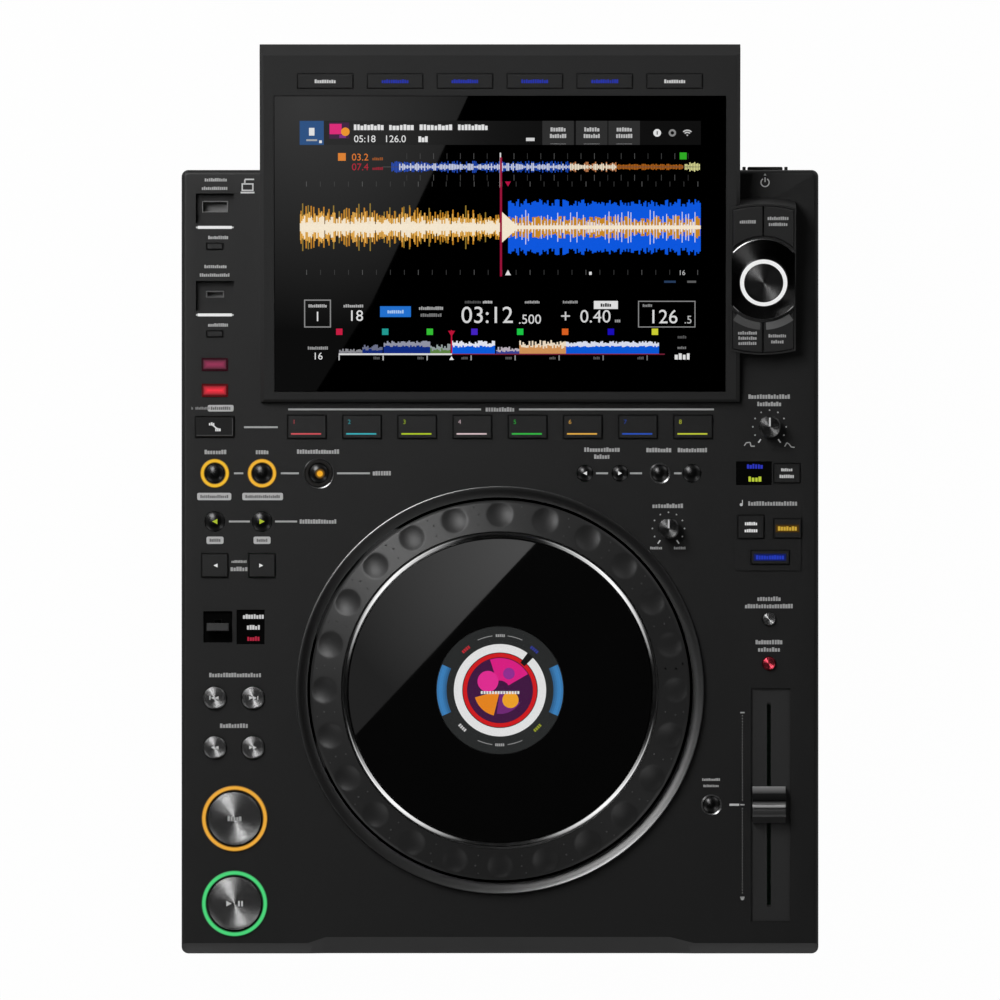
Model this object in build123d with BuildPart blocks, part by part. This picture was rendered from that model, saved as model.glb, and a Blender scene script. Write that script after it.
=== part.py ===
from build123d import *
import os
from math import acos, atan2, ceil, cos, degrees, pi, radians, sin

# A tabletop player for DJs: a flat deck with a jog wheel, and a tilted display that overhangs
# the back. Millimetres, +X to the right, +Y to the back, +Z up. The origin is on the table,
# under the middle of the whole outline.

# ---- Clearances ------------------------------------------------------------------------------
fit_gap = 0.35  # round a cap in its hole
seat_gap = 0.25  # between a flange and the skin it lies under, or a knob and its deck
socket_gap = 0.2  # round a socket in its hole
turn_gap = 0.3  # round a shaft in its bore

# ---- Body ------------------------------------------------------------------------------------
# The jog wheel and a column of controls on each side of it make up the width. The wheel, the
# rows of keys behind it and the display make up the depth.
jog_radius = 98.0
jog_gap = 1.5  # round the wheel, inside its bezel
jog_bezel_width = 5.8
side_column = 59.2  # from the bezel to the body's side
jog_front_margin = 31.1  # from the body's front to the bezel
loop_row_gap = 6.6  # from the bezel to the middle of the loop row
row_pitch = 24.0  # from the loop row to the pads
lip_gap = 12.9  # from the pads' middle to the display
display_depth = 183.8
display_overhang = 64.0
deck_height = 84.0
joint_height = 38.0  # the top cover stands on the base pan here
foot_height = 8.0
foot_radius = 19.0
foot_chamfer = 1.5
foot_inset = 34.0  # from the body's edges to a foot's centre
corner_radius = 3.5
edge_radius = 2.5
skin = 3.0  # thickness of the deck and of the cover's walls
pan_wall = 2.5
shadow_gap = 1.5  # the base pan's outline lies this far inside the cover's
post_height = 6.0
post_side = 7.0

jog_bezel_bore = jog_radius + jog_gap
jog_bezel_radius = jog_bezel_bore + jog_bezel_width
column_length = jog_front_margin + 2 * jog_bezel_radius + loop_row_gap
overall_depth = column_length + row_pitch + lip_gap + display_depth
body_depth = overall_depth - display_overhang
body_width = 2 * (jog_bezel_radius + side_column)
front_y = -overall_depth / 2
rear_y = front_y + body_depth
body_middle_y = front_y + body_depth / 2
left_x = -body_width / 2
right_x = body_width / 2
deck_under = deck_height - skin
pan_floor = foot_height + pan_wall
board_height = pan_floor + post_height

# ---- Front bevel, with a deeper finger recess in its middle -----------------------------------
bevel_depth = 5.6
bevel_height = 10.0
recess_depth = 8.8
recess_height = 14.0
recess_left = -89.9
recess_right = 87.8
recess_slant = 9.3
recess_end = 12.4

# ---- Caps ------------------------------------------------------------------------------------
flat_depth = 0.15  # round caps and holes are drawn with flats this deep
flange_margin = 1.3
flange_thickness = 1.2
cap_chamfer = 0.45
key_proud = 1.4
button_proud = 1.8
pad_proud = 1.6
transport_proud = 2.6

# ---- Columns and rows of controls on the deck -------------------------------------------------
# The rows beside the wheel share out the column from the body's front to the loop row.
left_margin = 17.2
right_margin = 25.6
pair_pitch = 24.4
metal_pair_pitch = 19.7
beat_row_share = 0.8997
jump_row_share = 0.8083
lever_row_share = 0.6802
track_row_share = 0.5328
search_row_share = 0.4297
cue_row_share = 0.2819
play_row_share = 0.1051
sync_row_share = 0.8562
feel_row_share = 0.8852
range_row_share = 0.6971
master_tempo_row_share = 0.6045
slider_row_share = 0.3105
left_column_x = left_x + left_margin
second_column_x = left_column_x + pair_pitch
third_column_x = left_column_x + metal_pair_pitch
right_column_x = right_x - right_margin
loop_row_y = front_y + column_length
pad_row_y = loop_row_y + row_pitch
beat_row_y = front_y + beat_row_share * column_length
jump_row_y = front_y + jump_row_share * column_length
track_row_y = front_y + track_row_share * column_length
search_row_y = front_y + search_row_share * column_length

# ---- Hot-cue pads ----------------------------------------------------------------------------
pad_count = 8
pad_pitch = 28.5
pad_width = 19.9
pad_depth = 11.9

# ---- Jog wheel -------------------------------------------------------------------------------
jog_y = front_y + jog_front_margin + jog_bezel_radius
jog_well_radius = jog_bezel_bore + 1.5
jog_bezel_height = 3.0
jog_bezel_edge = 0.8
jog_bezel_lip = 0.6  # its height at the bore
jog_plate_thickness = 2.0
jog_cone_width = 16.0
jog_trim_width = 3.4
jog_trim_rise = 0.6
jog_rise = 14.0  # from the deck up to the top of the plate
jog_drop = 4.0  # from the deck down to the foot of the wheel
jog_cone_fall = 5.0
jog_wall = 3.0
jog_web = 2.5
jog_ledge = 4.4
jog_post_radius = 15.0
jog_display_radius = 33.0
jog_display_thickness = 4.0
jog_well_depth = 7.0
jog_well_wall = 2.0
dimple_count = 24
jog_flats = 3 * dimple_count  # round the wheel
dimple_inset = 7.1  # from the wheel's edge to the middle of a dimple
dimple_radius = 6.8
dimple_depth = 1.2
dimple_flats = 12
dimple_rim = 0.4

jog_trim_radius = jog_radius - jog_cone_width
jog_plate_radius = jog_trim_radius - jog_trim_width - turn_gap
jog_top = deck_height + jog_rise
jog_seat = jog_top - jog_plate_thickness
jog_foot = deck_height - jog_drop

# ---- Display housing -------------------------------------------------------------------------
display_tilt = 9.5
display_side = 40.8  # deck left free on each side of the display
display_lip = 5.0  # height of its front edge above the deck
display_front_chamfer = 1.2
display_rear_bevel = 5.9
display_rear_fall = 5.3
display_rear_face = 10.0
housing_wall = 3.0
housing_radius = 2.0
glass_border = 7.6
glass_start = 5.5  # from the lip to the glass, along the slope
glass_end_margin = 21.2
glass_thickness = 2.0
glass_sink = 0.2  # how far the glass lies below the frame
glass_floor = 2.0
cavity_start = 34.0

display_rear_y = overall_depth / 2
lip_y = display_rear_y - display_depth
lip_height = deck_height + display_lip
slope_cos = cos(radians(display_tilt))
slope_sin = sin(radians(display_tilt))
slope_length = (display_depth - display_rear_bevel) / slope_cos
display_width = body_width - 2 * display_side
glass_width = display_width - 2 * glass_border
glass_length = slope_length - glass_start - glass_end_margin

# ---- Screen keys -----------------------------------------------------------------------------
screen_key_count = 6
screen_key_inset = 8.25  # from the glass's side to the row's end
screen_key_gap = 7.55
screen_key_depth = 7.2
screen_key_setback = 13.3  # from the housing's rear edge to the keys' middle, along the slope
screen_key_proud = 1.0
screen_key_pitch = (glass_width - 2 * screen_key_inset) / screen_key_count
screen_key_width = screen_key_pitch - screen_key_gap
screen_key_line = slope_length - screen_key_setback

# ---- Island with the selector ----------------------------------------------------------------
island_offset = 12.0  # from the display's side to the island's middle
island_x = display_width / 2 + island_offset
island_line = 64.1  # from the lip to the island's middle, along the slope
island_half_width = 16.8
island_half_length = 39.3
island_arch = 2.0
island_rise = 1.2
island_border = 0.9
island_skin = 4.2
island_key_recess = 2.2
island_key_thickness = 2.0
island_key_proud = 0.8
island_key_gap = 0.6
island_stem_width = 7.0
island_stem_depth = 5.0
island_stem_length = 4.0
island_stem_offset = 8.2
island_stem_line = 29.6
selector_well_radius = 21.4
selector_well_depth = 0.8
selector_radius = 12.65
selector_height = 13.0
selector_dish_radius = 9.8
selector_dish_depth = 0.5
selector_shaft_radius = 3.0
selector_chamfer = 1.2
encoder_side = 14.0
encoder_height = 7.0

# ---- Knobs with a pointer --------------------------------------------------------------------
knob_height = 10.5
knob_chamfer = 0.6
knob_pointer_width = 1.0
knob_pointer_depth = 0.7
knob_shaft_radius = 3.0
pot_side = 11.0
pot_height = 6.5
pot_floor = 2.0

# ---- Direction lever -------------------------------------------------------------------------
lever_x = left_x + 18.8
lever_y = front_y + lever_row_share * column_length
lever_recess_width = 15.2
lever_recess_length = 16.5
shallow_recess = 1.5
lever_pivot_drop = 8.0
lever_width = 11.4
lever_length = 4.1
lever_top = 5.0
lever_underside = 0.3
lever_stem = 3.0
lever_slot_length = 7.4
lever_pin_radius = 1.5
lever_pin_length = 12.0
lever_ear_width = 2.0
lever_ear_length = 8.0
lever_ear_offset = 4.5
lever_label_x = left_x + 35.7
lever_label_width = 14.7
lever_label_length = 18.0
window_depth = 0.5

# ---- Tempo slider ----------------------------------------------------------------------------
slider_x = right_column_x
slider_y = front_y + slider_row_share * column_length
slider_recess_x = right_x - 24.7
slider_recess_width = 20.4
slider_recess_length = 120.3
slider_travel = 50.0  # each way from the middle
slider_slot_width = 2.4
slider_cap_width = 17.0
slider_cap_length = 18.9
slider_cap_height = 8.5
slider_cap_dip = 2.6
slider_cap_crown = 6.0
slider_rib_width = 0.8
slider_rib_depth = 0.5
slider_rib_count = 3
slider_stem_width = 1.6
slider_stem_length = 3.0
slider_stem_depth = 6.0
fader_width = 14.0
fader_height = 9.0
fader_margin = 8.0
fader_groove_depth = 7.0

# ---- See-saw pairs of buttons ----------------------------------------------------------------
rocker_rib_height = 1.1
rocker_rib_width = 2.0
rocker_rib_length = 6.0
rocker_bar_thickness = 1.6
rocker_bar_depth = 8.0
rocker_proud = 1.8

# ---- Light rings round buttons ---------------------------------------------------------------
ring_height = 0.8
transport_ring_height = 1.2
transport_ring_radius = 17.0
loop_ring_radius = 7.5

# ---- USB bays --------------------------------------------------------------------------------
bay_pitch = 45.2
bay_y = rear_y - 19.9
bay_width = 19.6
bay_length = 15.5
bay_depth = 5.0
bay_wall = 2.0
stop_key_offset = 19.6
stop_key_width = 8.3
stop_key_depth = 3.1
slip_share = 0.392  # of the way from the pad row to the second stop key
quantize_share = 0.671
socket_wall = 0.4
usb_a_width = 12.5
usb_a_depth = 5.1
usb_c_width = 8.3
usb_c_depth = 2.6
usb_length = 14.0
socket_offset = 1.0
socket_stand = 0.3  # how far a socket's mouth stands above the bay's floor

# ---- Sync plate and jog-mode window ----------------------------------------------------------
sync_x = right_x - 26.1
sync_y = front_y + sync_row_share * column_length
sync_width = 34.0
sync_length = 29.0
sync_rise = 0.8
mode_window_x = right_x - 33.3
mode_window_width = 18.6
mode_window_length = 12.4

# ---- Rear face -------------------------------------------------------------------------------
power_x = right_x - 27.4
power_width = 18.1
power_depth = 8.0
power_proud = 1.8
guard_width = 1.6
guard_gap = 1.0
socket_line = 60.0  # height of the rear sockets' middle
power_drop = 14.0  # from the deck down to the middle of the button
power_line = deck_height - power_drop
socket_pitches = (70.0, 38.0, 26.0, 34.0)  # from the right side to each socket in turn
inlet_x = right_x - socket_pitches[0]
inlet_width = 24.6
inlet_depth = 16.6
inlet_wall = 2.5
inlet_length = 20.0
inlet_flange = 3.0
inlet_flange_thickness = 1.5
inlet_corner = 5.0
inlet_pin_depth = 5.0  # how far the pins' tips lie inside the mouth
inlet_pin_width = 2.0
inlet_pin_height = 4.0
inlet_pin_spread = 7.0
inlet_pin_drop = 3.6
lan_x = inlet_x - socket_pitches[1]
lan_width = 12.0
lan_depth = 9.0
lan_length = 15.0
data_x = lan_x - socket_pitches[2]
data_width = 8.6
data_depth = 8.0
data_length = 12.0
plain_socket_wall = 1.6
phono_x = data_x - socket_pitches[3]
phono_pitch = 22.0
phono_count = 3
phono_radius = 4.15
phono_length = 9.5
phono_bore = 1.6
phono_bore_depth = 8.0
phono_tail_side = 7.0
phono_tail = 2.0
phono_plate_side = 12.0
phono_plate_thickness = 1.5

# ---- Electronics -----------------------------------------------------------------------------
board_thickness = 1.6
main_board_width = 196.0
main_board_length = 250.0
main_board_side = 24.0  # from the body's side to the board
main_board_front = 40.0
supply_board_width = 84.0
supply_board_length = 150.0
supply_board_side = 14.0
supply_board_rear = 30.0
board_post_inset = 8.0
main_board_x = left_x + main_board_side + main_board_width / 2
main_board_y = front_y + main_board_front + main_board_length / 2
supply_board_x = right_x - supply_board_side - supply_board_width / 2
supply_board_y = rear_y - supply_board_rear - supply_board_length / 2
processor_side = 38.0
processor_y = main_board_y + main_board_length / 6
chip_width = 24.0
chip_length = 16.0
chip_x = main_board_x - main_board_width / 3
chip_y = main_board_y + main_board_length / 3
cooler_height = 8.0
transformer_width = 40.0
transformer_length = 34.0
transformer_height = 24.0
transformer_y = supply_board_y - supply_board_length / 8
capacitor_side = 18.0
capacitor_height = 20.0
capacitor_pitch = 28.0
capacitor_y = supply_board_y + supply_board_length / 5
cable_hole_width = 110.0
cable_hole_length = 40.0
cable_hole_start = 55.0  # from the lip, level

# ---- Caps that slide straight down, by name: x, y, size, height above the deck ----------------
# A size is a radius for a round cap, or a width and a depth for a square one.
second_stop_y = bay_y - stop_key_offset - bay_pitch
slip_y = pad_row_y + slip_share * (second_stop_y - pad_row_y)
quantize_y = pad_row_y + quantize_share * (second_stop_y - pad_row_y)
range_y = front_y + range_row_share * column_length
master_tempo_y = front_y + master_tempo_row_share * column_length
cue_y = front_y + cue_row_share * column_length
play_y = front_y + play_row_share * column_length
transport_x = left_x + 27.4
deck_caps = {
    "usb_stop_1": (left_column_x, bay_y - stop_key_offset, (stop_key_width, stop_key_depth), key_proud),
    "usb_stop_2": (left_column_x, second_stop_y, (stop_key_width, stop_key_depth), key_proud),
    "quantize_button": (left_column_x, quantize_y, (12.9, 6.0), key_proud),
    "slip_button": (left_column_x, slip_y, (12.9, 6.0), key_proud),
    "call_delete_key": (left_column_x, pad_row_y, (20.0, 10.6), pad_proud),
    "loop_in_button": (left_column_x, loop_row_y, 4.75, button_proud),
    "loop_out_button": (second_column_x, loop_row_y, 4.75, button_proud),
    "reloop_button": (left_x + 70.9, loop_row_y, 4.9, button_proud),
    "delete_button": (right_x - 81.9, loop_row_y, 4.2, button_proud),
    "memory_button": (right_x - 65.3, loop_row_y, 4.6, button_proud),
    "jog_mode_key": (right_x - 16.3, loop_row_y, (13.4, 9.8), key_proud),
    "beat_sync_key": (sync_x - 8.8, sync_y + 8.0, (13.4, 11.9), key_proud + sync_rise),
    "master_key": (sync_x + 10.1, sync_y + 7.2, (13.9, 9.8), key_proud + sync_rise),
    "key_sync_key": (sync_x + 1.1, sync_y - 7.7, (19.6, 7.0), key_proud + sync_rise),
    "tempo_range_button": (right_column_x, range_y, 3.4, button_proud),
    "master_tempo_button": (right_column_x, master_tempo_y, 3.4, button_proud),
    "tempo_reset_button": (right_x - 55.3, slider_y, 4.2, button_proud),
    "cue_button": (transport_x, cue_y, 13.7, transport_proud),
    "play_button": (transport_x, play_y, 13.7, transport_proud),
}
for number in range(pad_count):
    pad_x = (number - (pad_count - 1) / 2) * pad_pitch
    deck_caps[f"hot_cue_pad_{number + 1}"] = (pad_x, pad_row_y, (pad_width, pad_depth), pad_proud)

# ---- See-saw pairs, by name: x of the left cap, x of the right cap, y, size -------------------
rockers = {
    "beat_loop_rocker": (left_column_x, second_column_x, beat_row_y, 5.1),
    "beat_jump_rocker": (left_column_x, second_column_x, jump_row_y, (13.5, 12.0)),
    "track_search_rocker": (left_column_x, third_column_x, track_row_y, 6.0),
    "search_rocker": (left_column_x, third_column_x, search_row_y, 6.0),
    "cue_call_rocker": (right_x - 120.6, right_x - 102.5, loop_row_y, 4.1),
}

# ---- Knobs, by name: x, y, radius -------------------------------------------------------------
knobs = {
    "vinyl_speed_knob": (right_x - 25.3, pad_row_y, 5.7),
    "jog_feel_knob": (right_x - 77.5, front_y + feel_row_share * column_length, 5.5),
}

# ---- Light rings, by the button they surround: outer radius, height ---------------------------
light_ring_sizes = {
    "cue_button": (transport_ring_radius, transport_ring_height),
    "play_button": (transport_ring_radius, transport_ring_height),
    "loop_in_button": (loop_ring_radius, ring_height),
    "loop_out_button": (loop_ring_radius, ring_height),
    "reloop_button": (7.0, ring_height),
}

# ---- Pieces ----------------------------------------------------------------------------------
os.makedirs("parts", exist_ok=True)

slope = Plane(origin=(0, lip_y, lip_height), x_dir=(1, 0, 0), z_dir=(0, -slope_sin, slope_cos))
rear_face = Plane(origin=(0, rear_y, 0), x_dir=(-1, 0, 0), z_dir=(0, 1, 0))


def save(piece, name):
    """Label a finished piece and write it as one STEP file."""
    piece.part.label = name
    export_step(piece.part, f"parts/{name}.step")


def on_slope(x, line, rise=0.0):
    """The plane that lies on the display's slope at x and at a distance from its lip."""
    return Plane(
        origin=(
            x,
            lip_y + line * slope_cos - rise * slope_sin,
            lip_height + line * slope_sin + rise * slope_cos,
        ),
        x_dir=(1, 0, 0),
        z_dir=(0, -slope_sin, slope_cos),
    )


def slope_point(line, rise):
    """The (y, z) of a point at a distance from the lip along the slope, and above it."""
    return (
        lip_y + line * slope_cos - rise * slope_sin,
        lip_height + line * slope_sin + rise * slope_cos,
    )


def draw_round(radius, mode=Mode.ADD):
    """Draw a round outline in the open sketch, with as many flats as its size needs."""
    quarter = pi / 4 / acos(1 - flat_depth / radius)
    RegularPolygon(radius, side_count=4 * ceil(quarter), mode=mode)


def draw_outline(size, grow=0.0):
    """Draw a cap's outline in the open sketch: round for one size, a rectangle for two."""
    if isinstance(size, tuple):
        Rectangle(size[0] + 2 * grow, size[1] + 2 * grow)
    else:
        draw_round(size + grow)


def make_cap(plane, size, proud, wall):
    """A cap that stands through a wall, with a flange that catches under the wall.

    The plane lies on the wall's outer face and looks outwards.
    """
    flange_top = -wall - seat_gap
    flange_size = size if isinstance(size, tuple) else (2 * size, 2 * size)
    with BuildPart() as cap:
        with BuildSketch(plane.offset(flange_top - flange_thickness)):
            draw_outline(flange_size, flange_margin)
        extrude(amount=flange_thickness)
        with BuildSketch(plane.offset(flange_top)):
            draw_outline(size)
        extrude(amount=proud - flange_top)
        chamfer(cap.faces().sort_by(Axis(plane.origin, plane.z_dir))[-1].edges(), cap_chamfer)
    return cap


def arched_box(half_width, half_length, arch):
    """A box whose two short sides bulge outwards by the arch."""
    with BuildSketch() as shape:
        with BuildLine():
            Line((-half_width, arch - half_length), (-half_width, half_length - arch))
            ThreePointArc(
                (-half_width, half_length - arch), (0, half_length), (half_width, half_length - arch)
            )
            Line((half_width, half_length - arch), (half_width, arch - half_length))
            ThreePointArc(
                (half_width, arch - half_length), (0, -half_length), (-half_width, arch - half_length)
            )
        make_face()
    return shape.sketch


def island_key_outline(grow):
    """The four keys round the selector: the island's outline less the selector's well."""
    inset = island_border + fit_gap - grow
    with BuildSketch() as shape:
        add(arched_box(island_half_width - inset, island_half_length - inset, island_arch))
        draw_round(selector_well_radius + island_border + fit_gap - grow, Mode.SUBTRACT)
    return shape.sketch


# The top cover: a moulded shell, open below, with every recess, hole and rib of the deck.
with BuildPart() as top_cover:
    with BuildSketch(Plane.XY.offset(joint_height)):
        with Locations((0, body_middle_y)):
            RectangleRounded(body_width, body_depth, corner_radius)
    extrude(amount=deck_height - joint_height)
    fillet(top_cover.edges().group_by(Axis.Z)[-1], edge_radius)

    # The front bevel runs the whole width and steps back to a finger recess in the middle.
    bevel_stations = (
        (left_x - 1, bevel_depth, bevel_height),
        (recess_left - recess_slant, bevel_depth, bevel_height),
        (recess_left, recess_depth, recess_height),
        (recess_right, recess_depth, recess_height),
        (recess_right + recess_end, bevel_depth, bevel_height),
        (right_x + 1, bevel_depth, bevel_height),
    )
    for start, end in zip(bevel_stations, bevel_stations[1:]):
        for station_x, depth, height in (start, end):
            with BuildSketch(Plane.YZ.offset(station_x)):
                with BuildLine():
                    Polyline(
                        (front_y - 1, deck_height - height),
                        (front_y, deck_height - height),
                        (front_y + depth, deck_height),
                        (front_y + depth, deck_height + 1),
                        (front_y - 1, deck_height + 1),
                        close=True,
                    )
                make_face()
        loft(ruled=True, mode=Mode.SUBTRACT)

    # The hollow follows the bevel at a wall's distance.
    with BuildSketch(Plane.YZ):
        with BuildLine():
            Polyline(
                (front_y + skin, joint_height),
                (front_y + skin, deck_under - recess_height),
                (front_y + recess_depth + skin / 2, deck_under),
                (rear_y - skin, deck_under),
                (rear_y - skin, joint_height),
                close=True,
            )
        make_face()
    extrude(amount=body_width / 2 - skin, both=True, mode=Mode.SUBTRACT)

    # The sync plate stands a little above the deck.
    with BuildSketch(Plane.XY.offset(deck_height)):
        with Locations((sync_x, sync_y)):
            Rectangle(sync_width, sync_length)
    extrude(amount=sync_rise)

    # The tubs of the two USB bays, and their pockets.
    bay_centres = [(left_column_x, bay_y), (left_column_x, bay_y - bay_pitch)]
    with BuildSketch(Plane.XY.offset(deck_under)):
        with Locations(*bay_centres):
            Rectangle(bay_width + 2 * bay_wall, bay_length + 2 * bay_wall)
    extrude(amount=skin - bay_depth - bay_wall)
    with BuildSketch(Plane.XY.offset(deck_height)):
        with Locations(*bay_centres):
            Rectangle(bay_width, bay_length)
    extrude(amount=-bay_depth, mode=Mode.SUBTRACT)
    with BuildSketch(Plane.XY.offset(deck_height)):
        with Locations((left_column_x, bay_y + socket_offset)):
            draw_outline((usb_a_width, usb_a_depth), socket_wall + socket_gap)
        with Locations((left_column_x, bay_y + socket_offset - bay_pitch)):
            draw_outline((usb_c_width, usb_c_depth), socket_wall + socket_gap)
    extrude(amount=-bay_depth - bay_wall, mode=Mode.SUBTRACT)

    # Ears under the deck carry the direction lever's pin.
    ear_low = deck_height - lever_pivot_drop - lever_pin_radius - turn_gap - lever_ear_width
    with BuildSketch(Plane.XY.offset(ear_low)):
        with Locations((lever_x - lever_ear_offset, lever_y), (lever_x + lever_ear_offset, lever_y)):
            Rectangle(lever_ear_width, lever_ear_length)
    extrude(amount=deck_under - ear_low)
    with BuildSketch(Plane.YZ.offset(lever_x)):
        with Locations((lever_y, deck_height - lever_pivot_drop)):
            Circle(lever_pin_radius + turn_gap)
    extrude(amount=lever_ear_offset + lever_ear_width, both=True, mode=Mode.SUBTRACT)

    # Ribs under the deck are what the see-saw bars rock on.
    with BuildSketch(Plane.XY.offset(deck_under - rocker_rib_height)):
        for first_x, second_x, row_y, size in rockers.values():
            with Locations(((first_x + second_x) / 2, row_y)):
                Rectangle(rocker_rib_width, rocker_rib_length)
    extrude(amount=rocker_rib_height)

    # Shallow recesses of the lever and the slider, and the flush windows beside two controls.
    with BuildSketch(Plane.XY.offset(deck_height)):
        with Locations((lever_x, lever_y)):
            Rectangle(lever_recess_width, lever_recess_length)
        with Locations((slider_recess_x, slider_y)):
            Rectangle(slider_recess_width, slider_recess_length)
    extrude(amount=-shallow_recess, mode=Mode.SUBTRACT)
    with BuildSketch(Plane.XY.offset(deck_height)):
        with Locations((lever_label_x, lever_y)):
            Rectangle(lever_label_width, lever_label_length)
        with Locations((mode_window_x, loop_row_y)):
            Rectangle(mode_window_width, mode_window_length)
    extrude(amount=-window_depth, mode=Mode.SUBTRACT)

    # Everything that passes through the deck.
    with BuildSketch(Plane.XY.offset(deck_height + sync_rise)):
        with Locations((0, jog_y)):
            draw_round(jog_well_radius)
        for cap_x, cap_y, size, proud in deck_caps.values():
            with Locations((cap_x, cap_y)):
                draw_outline(size, fit_gap)
        for first_x, second_x, row_y, size in rockers.values():
            with Locations((first_x, row_y), (second_x, row_y)):
                draw_outline(size, fit_gap)
        for knob_x, knob_y, radius in knobs.values():
            with Locations((knob_x, knob_y)):
                draw_round(knob_shaft_radius + turn_gap)
        with Locations((lever_x, lever_y)):
            Rectangle(lever_stem + 2 * fit_gap, lever_slot_length)
        with Locations((slider_x, slider_y)):
            Rectangle(slider_slot_width, 2 * slider_travel + slider_stem_length + 2 * fit_gap)
        with Locations((0, lip_y + cable_hole_start + cable_hole_length / 2)):
            Rectangle(cable_hole_width, cable_hole_length)
    extrude(amount=-sync_rise - skin, mode=Mode.SUBTRACT)

    # The rear face: guards beside the power button, and the holes of the sockets.
    guard_offset = power_width / 2 + guard_gap + guard_width / 2
    with BuildSketch(rear_face):
        with Locations((-power_x - guard_offset, power_line), (-power_x + guard_offset, power_line)):
            Rectangle(guard_width, power_depth)
    extrude(amount=power_proud)
    with BuildSketch(rear_face):
        with Locations((-power_x, power_line)):
            draw_outline((power_width, power_depth), fit_gap)
        with Locations((-inlet_x, socket_line)):
            draw_outline((inlet_width, inlet_depth), inlet_wall + socket_gap)
        with Locations((-lan_x, socket_line)):
            draw_outline((lan_width, lan_depth), plain_socket_wall + socket_gap)
        with Locations((-data_x, socket_line)):
            draw_outline((data_width, data_depth), plain_socket_wall + socket_gap)
        for number in range(phono_count):
            with Locations((-phono_x + number * phono_pitch, socket_line)):
                Rectangle(phono_tail_side + 2 * socket_gap, phono_tail_side + 2 * socket_gap)
    extrude(amount=-skin, mode=Mode.SUBTRACT)
save(top_cover, "top_cover")

# The base pan: a tray under the cover, with posts for the two boards.
with BuildPart() as base_pan:
    with BuildSketch(Plane.XY.offset(foot_height)):
        with Locations((0, body_middle_y)):
            RectangleRounded(
                body_width - 2 * shadow_gap, body_depth - 2 * shadow_gap, corner_radius
            )
    extrude(amount=joint_height - foot_height)
    chamfer(base_pan.edges().group_by(Axis.Z)[0], edge_radius)
    with BuildSketch(Plane.XY.offset(pan_floor)):
        with Locations((0, body_middle_y)):
            Rectangle(
                body_width - 2 * shadow_gap - 2 * pan_wall, body_depth - 2 * shadow_gap - 2 * pan_wall
            )
    extrude(amount=joint_height - pan_floor, mode=Mode.SUBTRACT)
    with BuildSketch(Plane.XY.offset(pan_floor)):
        with Locations((main_board_x, main_board_y)):
            with GridLocations(
                main_board_width - 2 * board_post_inset, main_board_length - 2 * board_post_inset, 2, 2
            ):
                Rectangle(post_side, post_side)
        with Locations((supply_board_x, supply_board_y)):
            with GridLocations(
                supply_board_width - 2 * board_post_inset,
                supply_board_length - 2 * board_post_inset,
                2,
                2,
            ):
                Rectangle(post_side, post_side)
    extrude(amount=post_height)
save(base_pan, "base_pan")

# Four rubber feet under the pan.
with BuildPart() as rubber_feet:
    with BuildSketch():
        with Locations((0, body_middle_y)):
            with GridLocations(body_width - 2 * foot_inset, body_depth - 2 * foot_inset, 2, 2):
                draw_round(foot_radius)
    extrude(amount=foot_height)
    chamfer(rubber_feet.edges().group_by(Axis.Z)[0], foot_chamfer)
save(rubber_feet, "rubber_feet")

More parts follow.
